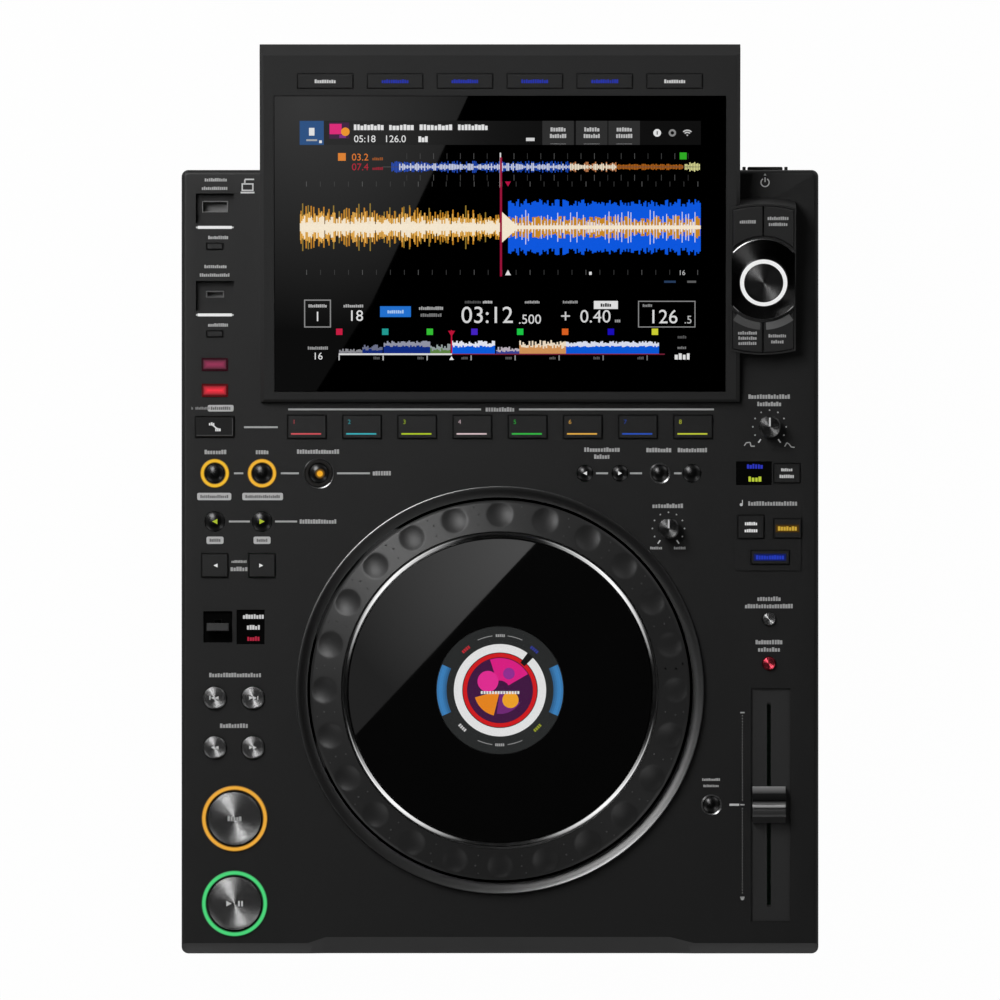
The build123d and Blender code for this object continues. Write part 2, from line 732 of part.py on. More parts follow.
# The display housing: a tilted wedge that overhangs the back, with the island at its right.
with BuildPart() as display_housing:
    rear_top_y, rear_top_z = slope_point(slope_length, 0)
    with BuildSketch(Plane.YZ):
        with BuildLine():
            Polyline(
                (lip_y, deck_height),
                (lip_y, lip_height - display_front_chamfer),
                slope_point(display_front_chamfer, 0),
                (rear_top_y, rear_top_z),
                (display_rear_y, rear_top_z - display_rear_fall),
                (display_rear_y, rear_top_z - display_rear_fall - display_rear_face),
                (rear_y, deck_height),
                close=True,
            )
        make_face()
    extrude(amount=display_width / 2, both=True)
    sloping_edges = display_housing.edges().filter_by(Axis((0, 0, 0), (0, slope_cos, slope_sin)))
    chamfer(sloping_edges, housing_radius)

    # The island is built square to the slope, and ends on the deck.
    with BuildSketch(on_slope(island_x, island_line, island_rise)):
        add(arched_box(island_half_width, island_half_length, island_arch))
    extrude(amount=-deck_height / 2)
    split(bisect_by=Plane.XY.offset(deck_height), keep=Keep.TOP)

    # The hollow: open to the deck below, thicker under the glass.
    glass_ceiling = -glass_sink - glass_thickness - glass_floor
    glass_end = glass_start + glass_length + housing_wall
    rear_wall_line = slope_length - housing_wall
    with BuildSketch(Plane.YZ):
        with BuildLine():
            Polyline(
                (lip_y + cavity_start, deck_height),
                slope_point(cavity_start / slope_cos, glass_ceiling),
                slope_point(glass_end, glass_ceiling),
                slope_point(glass_end, -housing_wall),
                slope_point(rear_wall_line, -housing_wall),
                (
                    display_rear_y - display_rear_bevel,
                    rear_top_z - display_rear_fall - display_rear_face + housing_wall,
                ),
                (rear_y - housing_wall, deck_height + housing_wall),
                (rear_y - housing_wall, deck_height),
                close=True,
            )
        make_face()
    extrude(amount=display_width / 2 - housing_wall, both=True, mode=Mode.SUBTRACT)

    # The hollow under the island, down to the deck.
    island_low = island_line - island_half_length + island_arch + housing_wall
    island_high = island_line + island_half_length - island_arch - housing_wall
    island_ceiling = island_rise - island_skin
    with BuildSketch(Plane.YZ.offset(display_width / 2 - 2 * housing_wall)):
        with BuildLine():
            Polyline(
                (slope_point(island_low, island_ceiling)[0], deck_height),
                slope_point(island_low, island_ceiling),
                slope_point(island_high, island_ceiling),
                (slope_point(island_high, island_ceiling)[0], deck_height),
                close=True,
            )
        make_face()
    island_reach = island_x + island_half_width - display_width / 2 + housing_wall
    extrude(amount=island_reach, mode=Mode.SUBTRACT)

    # The glass lies in a pocket, and the screen keys stand in a row behind it.
    with BuildSketch(on_slope(0, glass_start + glass_length / 2)):
        Rectangle(glass_width + 2 * fit_gap, glass_length + 2 * fit_gap)
    extrude(amount=-glass_sink - glass_thickness, mode=Mode.SUBTRACT)
    with BuildSketch(on_slope(0, screen_key_line)):
        with GridLocations(screen_key_pitch, 0, screen_key_count, 1):
            draw_outline((screen_key_width, screen_key_depth), fit_gap)
    extrude(amount=-housing_wall, mode=Mode.SUBTRACT)

    # The selector's well, the recess of the four keys, and the holes of their stems and shaft.
    with BuildSketch(on_slope(island_x, island_line, island_rise)):
        draw_round(selector_well_radius)
    extrude(amount=-selector_well_depth, mode=Mode.SUBTRACT)
    with BuildSketch(on_slope(island_x, island_line, island_rise)):
        add(island_key_outline(fit_gap))
    extrude(amount=-island_key_recess, mode=Mode.SUBTRACT)
    with BuildSketch(on_slope(island_x, island_line, island_rise)):
        draw_round(selector_shaft_radius + turn_gap)
        with GridLocations(2 * island_stem_offset, 2 * island_stem_line, 2, 2):
            draw_outline((island_stem_width, island_stem_depth), fit_gap)
    extrude(amount=-island_skin, mode=Mode.SUBTRACT)
save(display_housing, "display_housing")

# The touch glass, face to face with the floor of its pocket.
with BuildPart() as display_glass:
    with BuildSketch(on_slope(0, glass_start + glass_length / 2, -glass_sink - glass_thickness)):
        Rectangle(glass_width, glass_length)
    extrude(amount=glass_thickness)
save(display_glass, "display_glass")

# The six keys above the glass.
for number in range(screen_key_count):
    key_x = (number - (screen_key_count - 1) / 2) * screen_key_pitch
    key_plane = on_slope(key_x, screen_key_line)
    key_size = (screen_key_width, screen_key_depth)
    save(make_cap(key_plane, key_size, screen_key_proud, housing_wall), f"screen_key_{number + 1}")

# The four keys on the island: each a quarter of the recess, on a stem through its floor.
island_keys = {
    "back_key": (-1, 1),
    "tag_key": (1, 1),
    "filter_key": (-1, -1),
    "shortcut_key": (1, -1),
}
for name, (side, end) in island_keys.items():
    key_low = island_rise + island_key_proud - island_key_thickness
    with BuildPart() as island_key:
        with BuildSketch(on_slope(island_x, island_line, key_low)):
            add(island_key_outline(0))
            quarter_x = side * (island_half_length + island_key_gap) / 2
            with Locations((quarter_x, end * island_half_length / 2)):
                Rectangle(island_half_length, island_half_length, mode=Mode.INTERSECT)
        extrude(amount=island_key_thickness)
        key_top = island_key.faces().sort_by(Axis((0, 0, 0), (0, -slope_sin, slope_cos)))[-1]
        chamfer(key_top.edges(), cap_chamfer)
        with BuildSketch(on_slope(island_x, island_line, key_low)):
            with Locations((side * island_stem_offset, end * island_stem_line)):
                Rectangle(island_stem_width, island_stem_depth)
        extrude(amount=-island_stem_length)
    save(island_key, name)

# The selector: a broad turned knob with a dished top, on a shaft into its encoder.
selector_floor = island_rise - selector_well_depth
selector_top = selector_floor + seat_gap + selector_height
with BuildPart() as selector_knob:
    with BuildSketch(on_slope(island_x, island_line, selector_floor + seat_gap)):
        draw_round(selector_radius)
    extrude(amount=selector_height)
    knob_axis = Axis((0, 0, 0), (0, -slope_sin, slope_cos))
    chamfer(selector_knob.faces().sort_by(knob_axis)[-1].edges(), selector_chamfer)
    with BuildSketch(on_slope(island_x, island_line, selector_top)):
        draw_round(selector_dish_radius)
    extrude(amount=-selector_dish_depth, mode=Mode.SUBTRACT)
    with BuildSketch(on_slope(island_x, island_line, selector_floor + seat_gap)):
        Circle(selector_shaft_radius)
    extrude(amount=-selector_floor - seat_gap + island_ceiling - encoder_height / 2)
save(selector_knob, "selector_knob")

# Straight-down caps on the deck.
for name, (cap_x, cap_y, size, proud) in deck_caps.items():
    save(make_cap(Plane((cap_x, cap_y, deck_height)), size, proud, skin), name)

# The power button on the rear face.
power_plane = Plane(origin=(power_x, rear_y, power_line), x_dir=(-1, 0, 0), z_dir=(0, 1, 0))
save(make_cap(power_plane, (power_width, power_depth), power_proud, skin), "power_button")

# See-saw pairs: two caps on one bar that rocks on a rib under the deck.
rocker_bar_top = deck_under - rocker_rib_height - seat_gap
for name, (first_x, second_x, row_y, size) in rockers.items():
    cap_reach = size[0] if isinstance(size, tuple) else 2 * size
    with BuildPart() as rocker:
        with BuildSketch(Plane.XY.offset(rocker_bar_top)):
            with Locations(((first_x + second_x) / 2, row_y)):
                Rectangle(second_x - first_x + cap_reach, rocker_bar_depth)
        extrude(amount=-rocker_bar_thickness)
        with BuildSketch(Plane.XY.offset(rocker_bar_top)):
            with Locations((first_x, row_y), (second_x, row_y)):
                draw_outline(size)
        extrude(amount=deck_height + rocker_proud - rocker_bar_top)
        chamfer(rocker.edges().group_by(Axis.Z)[-1], cap_chamfer)
    save(rocker, name)

# Knobs with a pointer groove, each on a shaft into its potentiometer.
for name, (knob_x, knob_y, radius) in knobs.items():
    knob_base = deck_height + seat_gap
    with BuildPart() as knob:
        with BuildSketch(Plane((knob_x, knob_y, knob_base))):
            draw_round(radius)
        extrude(amount=knob_height)
        chamfer(knob.edges().group_by(Axis.Z)[-1], knob_chamfer)
        with BuildSketch(Plane((knob_x, knob_y, knob_base + knob_height))):
            with Locations((0, radius / 2)):
                Rectangle(knob_pointer_width, radius)
        extrude(amount=-knob_pointer_depth, mode=Mode.SUBTRACT)
        with BuildSketch(Plane((knob_x, knob_y, knob_base))):
            Circle(knob_shaft_radius)
        extrude(amount=deck_under - pot_height + pot_floor + turn_gap - knob_base)
    save(knob, name)

# The direction lever: a paddle on a stem, with a pin that turns in the ears under the deck.
lever_pivot = deck_height - lever_pivot_drop
with BuildPart() as direction_lever:
    with BuildSketch(Plane((lever_x, lever_y, deck_height + lever_underside))):
        Rectangle(lever_width, lever_length)
    extrude(amount=lever_top - lever_underside)
    chamfer(direction_lever.edges().group_by(Axis.Z)[-1], cap_chamfer)
    with BuildSketch(Plane((lever_x, lever_y, lever_pivot))):
        Rectangle(lever_stem, lever_stem)
    extrude(amount=lever_pivot_drop + lever_underside)
    with BuildSketch(Plane.YZ.offset(lever_x)):
        with Locations((lever_y, lever_pivot)):
            Circle(lever_pin_radius)
    extrude(amount=lever_pin_length / 2, both=True)
save(direction_lever, "direction_lever")

# The tempo slider's cap: a saddle with ribs, and a stem that reaches into the fader.
cap_low = deck_height - shallow_recess + seat_gap
cap_high = cap_low + slider_cap_height
with BuildPart() as tempo_slider_cap:
    half_length = slider_cap_length / 2
    half_crown = slider_cap_crown
    with BuildSketch(Plane.YZ.offset(slider_x)):
        with BuildLine():
            Polyline(
                (slider_y - half_crown, cap_high),
                (slider_y - half_length, cap_low + slider_cap_dip),
                (slider_y - half_length, cap_low),
                (slider_y + half_length, cap_low),
                (slider_y + half_length, cap_low + slider_cap_dip),
                (slider_y + half_crown, cap_high),
            )
            ThreePointArc(
                (slider_y + half_crown, cap_high),
                (slider_y, cap_high - slider_cap_dip / 2),
                (slider_y - half_crown, cap_high),
            )
        make_face()
    extrude(amount=slider_cap_width / 2, both=True)
    # Grip grooves across the saddle, evenly spaced about its middle.
    with BuildSketch(Plane.XY.offset(cap_high)):
        with Locations((slider_x, slider_y)):
            with GridLocations(0, slider_cap_crown / slider_rib_count, 1, slider_rib_count):
                Rectangle(slider_cap_width, slider_rib_width)
    extrude(amount=-slider_cap_dip / 2 - slider_rib_depth, mode=Mode.SUBTRACT)
    with BuildSketch(Plane.XY.offset(cap_low)):
        with Locations((slider_x, slider_y)):
            Rectangle(slider_stem_width, slider_stem_length)
    extrude(amount=shallow_recess - seat_gap - skin - slider_stem_depth)
save(tempo_slider_cap, "tempo_slider_cap")

# The jog wheel: a ring with a dimpled cone, on a web that turns round the hub's post.
cone_top = jog_top + jog_trim_rise
cone_foot = cone_top - jog_cone_fall
cone_slope = atan2(jog_cone_fall, jog_cone_width)
with BuildPart() as dimple:
    # What one dimple takes away: a shallow pan with slanting sides. Its rim stands a little above
    # the cone, which falls away on both sides of it.
    with BuildSketch(Plane.XY.offset(-dimple_depth)):
        RegularPolygon(dimple_radius, side_count=dimple_flats)
    extrude(amount=dimple_depth + dimple_rim)
    chamfer(dimple.edges().group_by(Axis.Z)[0], dimple_depth)
with BuildPart() as jog_ring:
    with BuildSketch(Plane((0, jog_y, jog_foot))):
        RegularPolygon(jog_radius, side_count=jog_flats)
    extrude(amount=cone_foot - jog_foot)
    # The cone leans in from the same polygon, so each of its flats is a plane.
    with BuildSketch(Plane((0, jog_y, cone_foot))):
        RegularPolygon(jog_radius, side_count=jog_flats)
    extrude(amount=jog_cone_fall, taper=90 - degrees(cone_slope))
    with BuildSketch(Plane((0, jog_y, jog_seat))):
        draw_round(jog_plate_radius + turn_gap)
    extrude(amount=cone_top - jog_seat, mode=Mode.SUBTRACT)
    # The ring is hollow above and below its web, and bored for the post.
    with BuildSketch(Plane((0, jog_y, jog_seat))):
        draw_round(jog_plate_radius + turn_gap - jog_ledge)
    extrude(amount=deck_height + jog_web - jog_seat, mode=Mode.SUBTRACT)
    with BuildSketch(Plane((0, jog_y, jog_foot))):
        draw_round(jog_radius - jog_wall)
    extrude(amount=jog_drop, mode=Mode.SUBTRACT)
    with BuildSketch(Plane((0, jog_y, deck_height))):
        Circle(jog_post_radius + turn_gap)
    extrude(amount=jog_web, mode=Mode.SUBTRACT)
    # Each dimple is cut square into the cone.
    dimple_circle = jog_radius - dimple_inset
    dimple_height = cone_foot + dimple_inset * jog_cone_fall / jog_cone_width
    dimples = []
    for number in range(dimple_count):
        turn = number * 2 * pi / dimple_count
        dimple_plane = Plane(
            origin=(dimple_circle * cos(turn), jog_y + dimple_circle * sin(turn), dimple_height),
            x_dir=(-sin(turn), cos(turn), 0),
            z_dir=(sin(cone_slope) * cos(turn), sin(cone_slope) * sin(turn), cos(cone_slope)),
        )
        dimples.append(dimple.part.moved(dimple_plane.location))
    add(dimples, mode=Mode.SUBTRACT)
save(jog_ring, "jog_ring")

# The jog's top plate lies in the ring, on its ledge.
with BuildPart() as jog_plate:
    with BuildSketch(Plane((0, jog_y, jog_seat))):
        draw_round(jog_plate_radius)
    extrude(amount=jog_plate_thickness)
save(jog_plate, "jog_plate")

# The hub: a well under the deck whose post carries the wheel and, still, the centre display.
well_floor = deck_under - jog_well_depth
display_under = jog_seat - seat_gap - jog_display_thickness
with BuildPart() as jog_hub:
    with BuildSketch(Plane((0, jog_y, well_floor - jog_well_wall))):
        draw_round(jog_well_radius + jog_well_wall)
    extrude(amount=jog_well_depth + jog_well_wall)
    with BuildSketch(Plane((0, jog_y, well_floor))):
        draw_round(jog_well_radius)
    extrude(amount=jog_well_depth, mode=Mode.SUBTRACT)
    with BuildSketch(Plane((0, jog_y, well_floor))):
        Circle(jog_post_radius)
    extrude(amount=display_under - well_floor)
    # The round centre display sits still on top of the post.
    with BuildSketch(Plane((0, jog_y, display_under))):
        draw_round(jog_display_radius)
    extrude(amount=jog_display_thickness)
save(jog_hub, "jog_hub")

# The bezel ring round the wheel: it stands on the deck and slopes down towards the wheel.
bezel_slope = atan2(jog_bezel_height - jog_bezel_lip, jog_bezel_width - jog_bezel_edge)
with BuildPart() as jog_bezel:
    with BuildSketch(Plane((0, jog_y, deck_height))):
        RegularPolygon(jog_bezel_radius, side_count=jog_flats)
        RegularPolygon(jog_bezel_bore, side_count=jog_flats, mode=Mode.SUBTRACT)
    extrude(amount=jog_bezel_height)
    with BuildSketch(Plane((0, jog_y, deck_height + jog_bezel_lip))):
        RegularPolygon(jog_bezel_bore, side_count=jog_flats)
    extrude(
        amount=jog_bezel_height - jog_bezel_lip,
        taper=degrees(bezel_slope) - 90,
        mode=Mode.SUBTRACT,
    )
save(jog_bezel, "jog_bezel")

# Light rings on the deck round their buttons.
with BuildPart() as light_rings:
    for name, (outer_radius, height) in light_ring_sizes.items():
        cap_x, cap_y, cap_radius, proud = deck_caps[name]
        with BuildSketch(Plane((cap_x, cap_y, deck_height))):
            draw_round(outer_radius)
            draw_round(cap_radius + fit_gap, Mode.SUBTRACT)
        extrude(amount=height)
save(light_rings, "light_rings")


def make_socket(plane, size, wall, length, stand):
    """A socket's metal shell: a box open at its mouth, which stands a little proud of the plane."""
    with BuildPart() as socket:
        with BuildSketch(plane.offset(stand)):
            draw_outline(size, wall)
        extrude(amount=-length - wall)
        with BuildSketch(plane.offset(stand)):
            draw_outline(size)
        extrude(amount=-length, mode=Mode.SUBTRACT)
    return socket.part


def rear_plane(x):
    """The plane on the rear face at x, at the sockets' height, looking backwards."""
    return Plane(origin=(x, rear_y, socket_line), x_dir=(-1, 0, 0), z_dir=(0, 1, 0))


def make_inlet():
    """The power inlet: a flanged cup with two slanted corners and three pins set well inside."""
    with BuildPart() as inlet:
        with BuildSketch(rear_plane(inlet_x)):
            draw_outline((inlet_width, inlet_depth), inlet_wall + inlet_flange)
        extrude(amount=inlet_flange_thickness)
        with BuildSketch(rear_plane(inlet_x)):
            draw_outline((inlet_width, inlet_depth), inlet_wall)
        extrude(amount=-inlet_length - inlet_wall)
        with BuildSketch(rear_plane(inlet_x).offset(inlet_flange_thickness)) as mouth:
            Rectangle(inlet_width, inlet_depth)
            chamfer(mouth.vertices().group_by(Axis.Y)[-1], inlet_corner)
        extrude(amount=-inlet_length - inlet_flange_thickness, mode=Mode.SUBTRACT)
        with BuildSketch(rear_plane(inlet_x).offset(-inlet_length)):
            with Locations(
                (-inlet_pin_spread, -inlet_pin_drop / 2),
                (0, inlet_pin_drop / 2),
                (inlet_pin_spread, -inlet_pin_drop / 2),
            ):
                Rectangle(inlet_pin_width, inlet_pin_height)
        extrude(amount=inlet_length - inlet_pin_depth)
    return inlet.part


def make_phono(x):
    """A phono socket: a round barrel on a square plate, with its tail through the wall."""
    with BuildPart() as phono:
        with BuildSketch(rear_plane(x)):
            Rectangle(phono_plate_side, phono_plate_side)
        extrude(amount=phono_plate_thickness)
        with BuildSketch(rear_plane(x)):
            Rectangle(phono_tail_side, phono_tail_side)
        extrude(amount=-skin - phono_tail)
        with BuildSketch(rear_plane(x)):
            Circle(phono_radius)
        extrude(amount=phono_length)
        with BuildSketch(rear_plane(x).offset(phono_length)):
            draw_round(phono_bore)
        extrude(amount=-phono_bore_depth, mode=Mode.SUBTRACT)
    return phono.part


# All sockets: two in the bays, the rest through the rear wall.
bay_floor = deck_height - bay_depth
usb_a_plane = Plane((left_column_x, bay_y + socket_offset, bay_floor))
usb_c_plane = Plane((left_column_x, bay_y + socket_offset - bay_pitch, bay_floor))
with BuildPart() as io_sockets:
    add(make_socket(usb_a_plane, (usb_a_width, usb_a_depth), socket_wall, usb_length, socket_stand))
    add(make_socket(usb_c_plane, (usb_c_width, usb_c_depth), socket_wall, usb_length, socket_stand))
    add(make_inlet())
    lan_size = (lan_width, lan_depth)
    data_size = (data_width, data_depth)
    add(make_socket(rear_plane(lan_x), lan_size, plain_socket_wall, lan_length, socket_stand))
    add(make_socket(rear_plane(data_x), data_size, plain_socket_wall, data_length, socket_stand))
    for number in range(phono_count):
        add(make_phono(phono_x - number * phono_pitch))
save(io_sockets, "io_sockets")

# The main board and the power supply board on their posts, and the controls' own bodies.
with BuildPart() as electronics:
    board_top = board_height + board_thickness
    with BuildSketch(Plane.XY.offset(board_height)):
        with Locations((main_board_x, main_board_y)):
            Rectangle(main_board_width, main_board_length)
        with Locations((supply_board_x, supply_board_y)):
            Rectangle(supply_board_width, supply_board_length)
    extrude(amount=board_thickness)
    with BuildSketch(Plane.XY.offset(board_top)):
        with Locations((main_board_x, processor_y)):
            Rectangle(processor_side, processor_side)
        with Locations((chip_x, chip_y)):
            Rectangle(chip_width, chip_length)
    extrude(amount=cooler_height)
    with BuildSketch(Plane.XY.offset(board_top)):
        with Locations((supply_board_x, transformer_y)):
            Rectangle(transformer_width, transformer_length)
    extrude(amount=transformer_height)
    with BuildSketch(Plane.XY.offset(board_top)):
        with Locations((supply_board_x, capacitor_y)):
            with GridLocations(capacitor_pitch, 0, 2, 1):
                Rectangle(capacitor_side, capacitor_side)
    extrude(amount=capacitor_height)

    # Under the deck: the slider's fader, two potentiometers and the selector's encoder.
    fader_length = 2 * slider_travel + slider_stem_length + 2 * fader_margin
    with BuildSketch(Plane.XY.offset(deck_under)):
        with Locations((slider_x, slider_y)):
            Rectangle(fader_width, fader_length)
    extrude(amount=-fader_height)
    with BuildSketch(Plane.XY.offset(deck_under)):
        with Locations((slider_x, slider_y)):
            Rectangle(slider_slot_width, 2 * slider_travel + slider_stem_length + 2 * fit_gap)
    extrude(amount=-fader_groove_depth, mode=Mode.SUBTRACT)
    for knob_x, knob_y, radius in knobs.values():
        with BuildSketch(Plane((knob_x, knob_y, deck_under))):
            Rectangle(pot_side, pot_side)
        extrude(amount=-pot_height)
        with BuildSketch(Plane((knob_x, knob_y, deck_under))):
            draw_round(knob_shaft_radius + turn_gap)
        extrude(amount=-pot_height + pot_floor, mode=Mode.SUBTRACT)
    with BuildSketch(on_slope(island_x, island_line, island_ceiling)):
        Rectangle(encoder_side, encoder_side)
    extrude(amount=-encoder_height)
    with BuildSketch(on_slope(island_x, island_line, island_ceiling)):
        draw_round(selector_shaft_radius + turn_gap)
    extrude(amount=-encoder_height / 2 - turn_gap, mode=Mode.SUBTRACT)
save(electronics, "electronics")
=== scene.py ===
from math import cos, pi, radians, sin, sqrt
from random import Random

import bmesh
import bpy
from mathutils import Matrix, Vector


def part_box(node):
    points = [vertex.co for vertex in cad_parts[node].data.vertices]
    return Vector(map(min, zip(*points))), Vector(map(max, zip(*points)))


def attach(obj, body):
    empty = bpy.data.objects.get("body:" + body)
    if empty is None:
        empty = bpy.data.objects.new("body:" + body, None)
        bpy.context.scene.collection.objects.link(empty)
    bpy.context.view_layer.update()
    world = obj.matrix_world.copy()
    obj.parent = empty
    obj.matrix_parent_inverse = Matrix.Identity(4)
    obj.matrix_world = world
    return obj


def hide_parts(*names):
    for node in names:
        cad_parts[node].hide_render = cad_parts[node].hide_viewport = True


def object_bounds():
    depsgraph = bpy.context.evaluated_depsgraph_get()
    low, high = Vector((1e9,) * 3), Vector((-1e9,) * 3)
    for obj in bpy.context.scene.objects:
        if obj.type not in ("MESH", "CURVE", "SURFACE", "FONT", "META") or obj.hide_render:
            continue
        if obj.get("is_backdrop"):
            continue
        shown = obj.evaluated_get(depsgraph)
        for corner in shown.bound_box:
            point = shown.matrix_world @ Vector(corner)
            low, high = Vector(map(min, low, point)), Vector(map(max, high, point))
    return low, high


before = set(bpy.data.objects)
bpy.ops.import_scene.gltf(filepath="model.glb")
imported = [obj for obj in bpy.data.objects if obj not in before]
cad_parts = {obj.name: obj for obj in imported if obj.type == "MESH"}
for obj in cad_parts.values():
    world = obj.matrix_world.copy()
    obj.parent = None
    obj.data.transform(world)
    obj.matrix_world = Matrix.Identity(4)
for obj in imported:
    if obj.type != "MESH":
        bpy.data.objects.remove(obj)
cad_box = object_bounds()
mm = 0.001

# ---- Camera ----------------------------------------------------------------------------------
# The player is looked at from straight above, from far enough that the deck and the tilted
# display keep their true proportions.
camera_height = 8.0
deck_height = 84.0  # millimetres, as every size of the player below
view_width = 516.5  # what the picture's width takes in at the height of the deck
sensor_width = 36
farthest_seen = 50
camera_data = bpy.data.cameras.new("camera")
camera_data.sensor_width = sensor_width
camera_data.lens = sensor_width * (camera_height - deck_height * mm) / (view_width * mm)
camera_data.clip_end = farthest_seen
camera = bpy.data.objects.new("camera", camera_data)
camera.location = (0, 0, camera_height)
bpy.context.scene.collection.objects.link(camera)
bpy.context.scene.camera = camera
bpy.context.scene.view_settings.view_transform = "Standard"


# ---- Finishes --------------------------------------------------------------------------------
# Every surface of the player is a moulded, sprayed, spun or glowing one. A finish is a node
# material: its maths is written as plain sums on the values that its nodes give out.
class Value:
    """What one node gives out, so that sums of it read as plain expressions."""

    def __init__(self, finish, socket):
        self.finish, self.socket = finish, socket

    def sum(self, operation, first, second):
        return self.finish.node("ShaderNodeMath", {"operation": operation}, {0: first, 1: second})

    def __add__(self, other):
        return self.sum("ADD", self, other)

    def __sub__(self, other):
        return self.sum("SUBTRACT", self, other)

    def __rsub__(self, other):
        return self.sum("SUBTRACT", other, self)

    def __mul__(self, other):
        return self.sum("MULTIPLY", self, other)

    def __truediv__(self, other):
        return self.sum("DIVIDE", self, other)

    def __lt__(self, other):
        return self.sum("LESS_THAN", self, other)

    def __gt__(self, other):
        return self.sum("GREATER_THAN", self, other)

    __radd__ = __add__
    __rmul__ = __mul__


class Finish:
    """A node material for one of the player's surfaces."""

    def __init__(self, name):
        self.material = bpy.data.materials.new(name)
        self.material.use_nodes = True
        self.material.node_tree.nodes.clear()
        self.spot = self.node("ShaderNodeTexCoord", out="Object")

    def node(self, kind, settings=None, sockets=None, out=0):
        tree = self.material.node_tree
        made = tree.nodes.new(kind)
        for key, value in (settings or {}).items():
            if key == "stops":
                for number, (place, colour) in enumerate(value):
                    ramp = made.color_ramp.elements
                    stop = ramp[number] if number < len(ramp) else ramp.new(place)
                    stop.position, stop.color = place, (*colour, 1)
            else:
                setattr(made, key, value)
        for key, value in (sockets or {}).items():
            if isinstance(value, Value):
                tree.links.new(value.socket, made.inputs[key])
            else:
                made.inputs[key].default_value = value
        return Value(self, made.outputs[out])

    def part(self, axis):
        """The x, y or z of a spot on the surface."""
        return self.node("ShaderNodeSeparateXYZ", None, {0: self.spot}, out=axis)

    def from_axis(self, middle, tilt=0.0):
        """Distance from an axis through a point in millimetres, tilted back about X."""
        turned = {"Vector": self.spot, "Location": Vector(middle) * mm, "Rotation": (tilt, 0, 0)}
        local = self.node("ShaderNodeMapping", {"vector_type": "TEXTURE"}, turned)
        level = self.node(
            "ShaderNodeVectorMath", {"operation": "MULTIPLY"}, {0: local, 1: (1, 1, 0)}
        )
        return self.node("ShaderNodeVectorMath", {"operation": "LENGTH"}, {0: level}, out="Value")

    def speckle(self, size, detail=3.0, stretch=(1, 1, 1)):
        """Soft random blotches about that large, in metres, from 0 to 1."""
        place = self.node("ShaderNodeMapping", None, {"Vector": self.spot, "Scale": stretch})
        noise = {"Vector": place, "Scale": 1 / size, "Detail": detail}
        return self.node("ShaderNodeTexNoise", None, noise)

    def blend(self, share, first, second):
        """Between two colours, by a share from 0 to 1."""
        ends = {"Factor": share}
        for key, colour in ((6, first), (7, second)):
            ends[key] = colour if isinstance(colour, Value) else (*colour, 1)
        return self.node("ShaderNodeMix", {"data_type": "RGBA"}, ends, out=2)

    def bump(self, height, strength, distance):
        relief = {"Height": height, "Strength": strength, "Distance": distance}
        return self.node("ShaderNodeBump", None, relief)

    def skin(self, colour, **sockets):
        colour = colour if isinstance(colour, Value) else (*colour, 1)
        named = {key.replace("_", " "): value for key, value in sockets.items()}
        return self.node("ShaderNodeBsdfPrincipled", None, {"Base Color": colour, **named})

    def done(self, shader):
        output = self.material.node_tree.nodes.new("ShaderNodeOutputMaterial")
        self.material.node_tree.links.new(shader.socket, output.inputs[0])
        return self.material


def shade(value):
    """A grey or a colour, from 0 to 255 as on a colour chart, in the renderer's own scale."""
    parts = [value] * 3 if isinstance(value, (int, float)) else value
    return tuple((part / 255) ** 2.2 for part in parts)


# ---- Stage -----------------------------------------------------------------------------------
# A plain white table top under a soft lamp at the upper left, with a weaker one opposite.
# Panels overhead, seen only in reflections, are what the display and the wheel's plate mirror.
table_size = 30.0
table_seen, table_mirrored = 0.985, 0.3  # how bright the table is to the camera, and in gloss
bpy.ops.mesh.primitive_plane_add(size=table_size)
table = bpy.context.object
table.name = "table_top"
white = Finish("table_white")
rays = white.material.node_tree.nodes.new("ShaderNodeLightPath")
seen = Value(white, rays.outputs["Is Camera Ray"])
mirrored = Value(white, rays.outputs["Is Glossy Ray"])
through = Value(white, rays.outputs["Is Transmission Ray"])
plain = white.node("ShaderNodeBsdfDiffuse", None, {"Color": (0.8, 0.8, 0.8, 1)})
bright = white.node("ShaderNodeEmission", None, {"Color": (1, 1, 1, 1), "Strength": 1.0})
share = (seen + through) * table_seen + mirrored * table_mirrored
mixed = white.node("ShaderNodeMixShader", None, {0: share, 1: plain, 2: bright})
table.data.materials.append(white.done(mixed))
table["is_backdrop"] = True

sky_light, sky_seen = 0.15, 1.0
sky = bpy.data.worlds.new("sky")
sky.use_nodes = True
bpy.context.scene.world = sky
sky_tree = sky.node_tree
sky_back = sky_tree.nodes["Background"]
sky_rays = sky_tree.nodes.new("ShaderNodeLightPath")
sky_mix = sky_tree.nodes.new("ShaderNodeMix")
sky_mix.data_type = "FLOAT"
sky_mix.inputs[2].default_value = sky_light
sky_mix.inputs[3].default_value = sky_seen
sky_tree.links.new(sky_rays.outputs["Is Camera Ray"], sky_mix.inputs[0])
sky_tree.links.new(sky_mix.outputs[0], sky_back.inputs["Strength"])
sky_back.inputs["Color"].default_value = (1, 1, 1, 1)

# Each lamp has a place and a size in metres, and a power in watts.
lamps = {
    "key_lamp": ((-0.5, 0.7, 0.95), 0.45, 6.5),
    "fill_lamp": ((1.3, -1.2, 1.5), 0.5, 1.6),
}
for name, (place, size, power) in lamps.items():
    lamp_data = bpy.data.lights.new(name, "AREA")
    lamp_data.shape = "SQUARE"
    lamp_data.size = size
    lamp_data.energy = power
    lamp = bpy.data.objects.new(name, lamp_data)
    lamp.location = place
    lamp.rotation_euler = (-Vector(place)).to_track_quat("-Z", "Y").to_euler()
    bpy.context.scene.collection.objects.link(lamp)


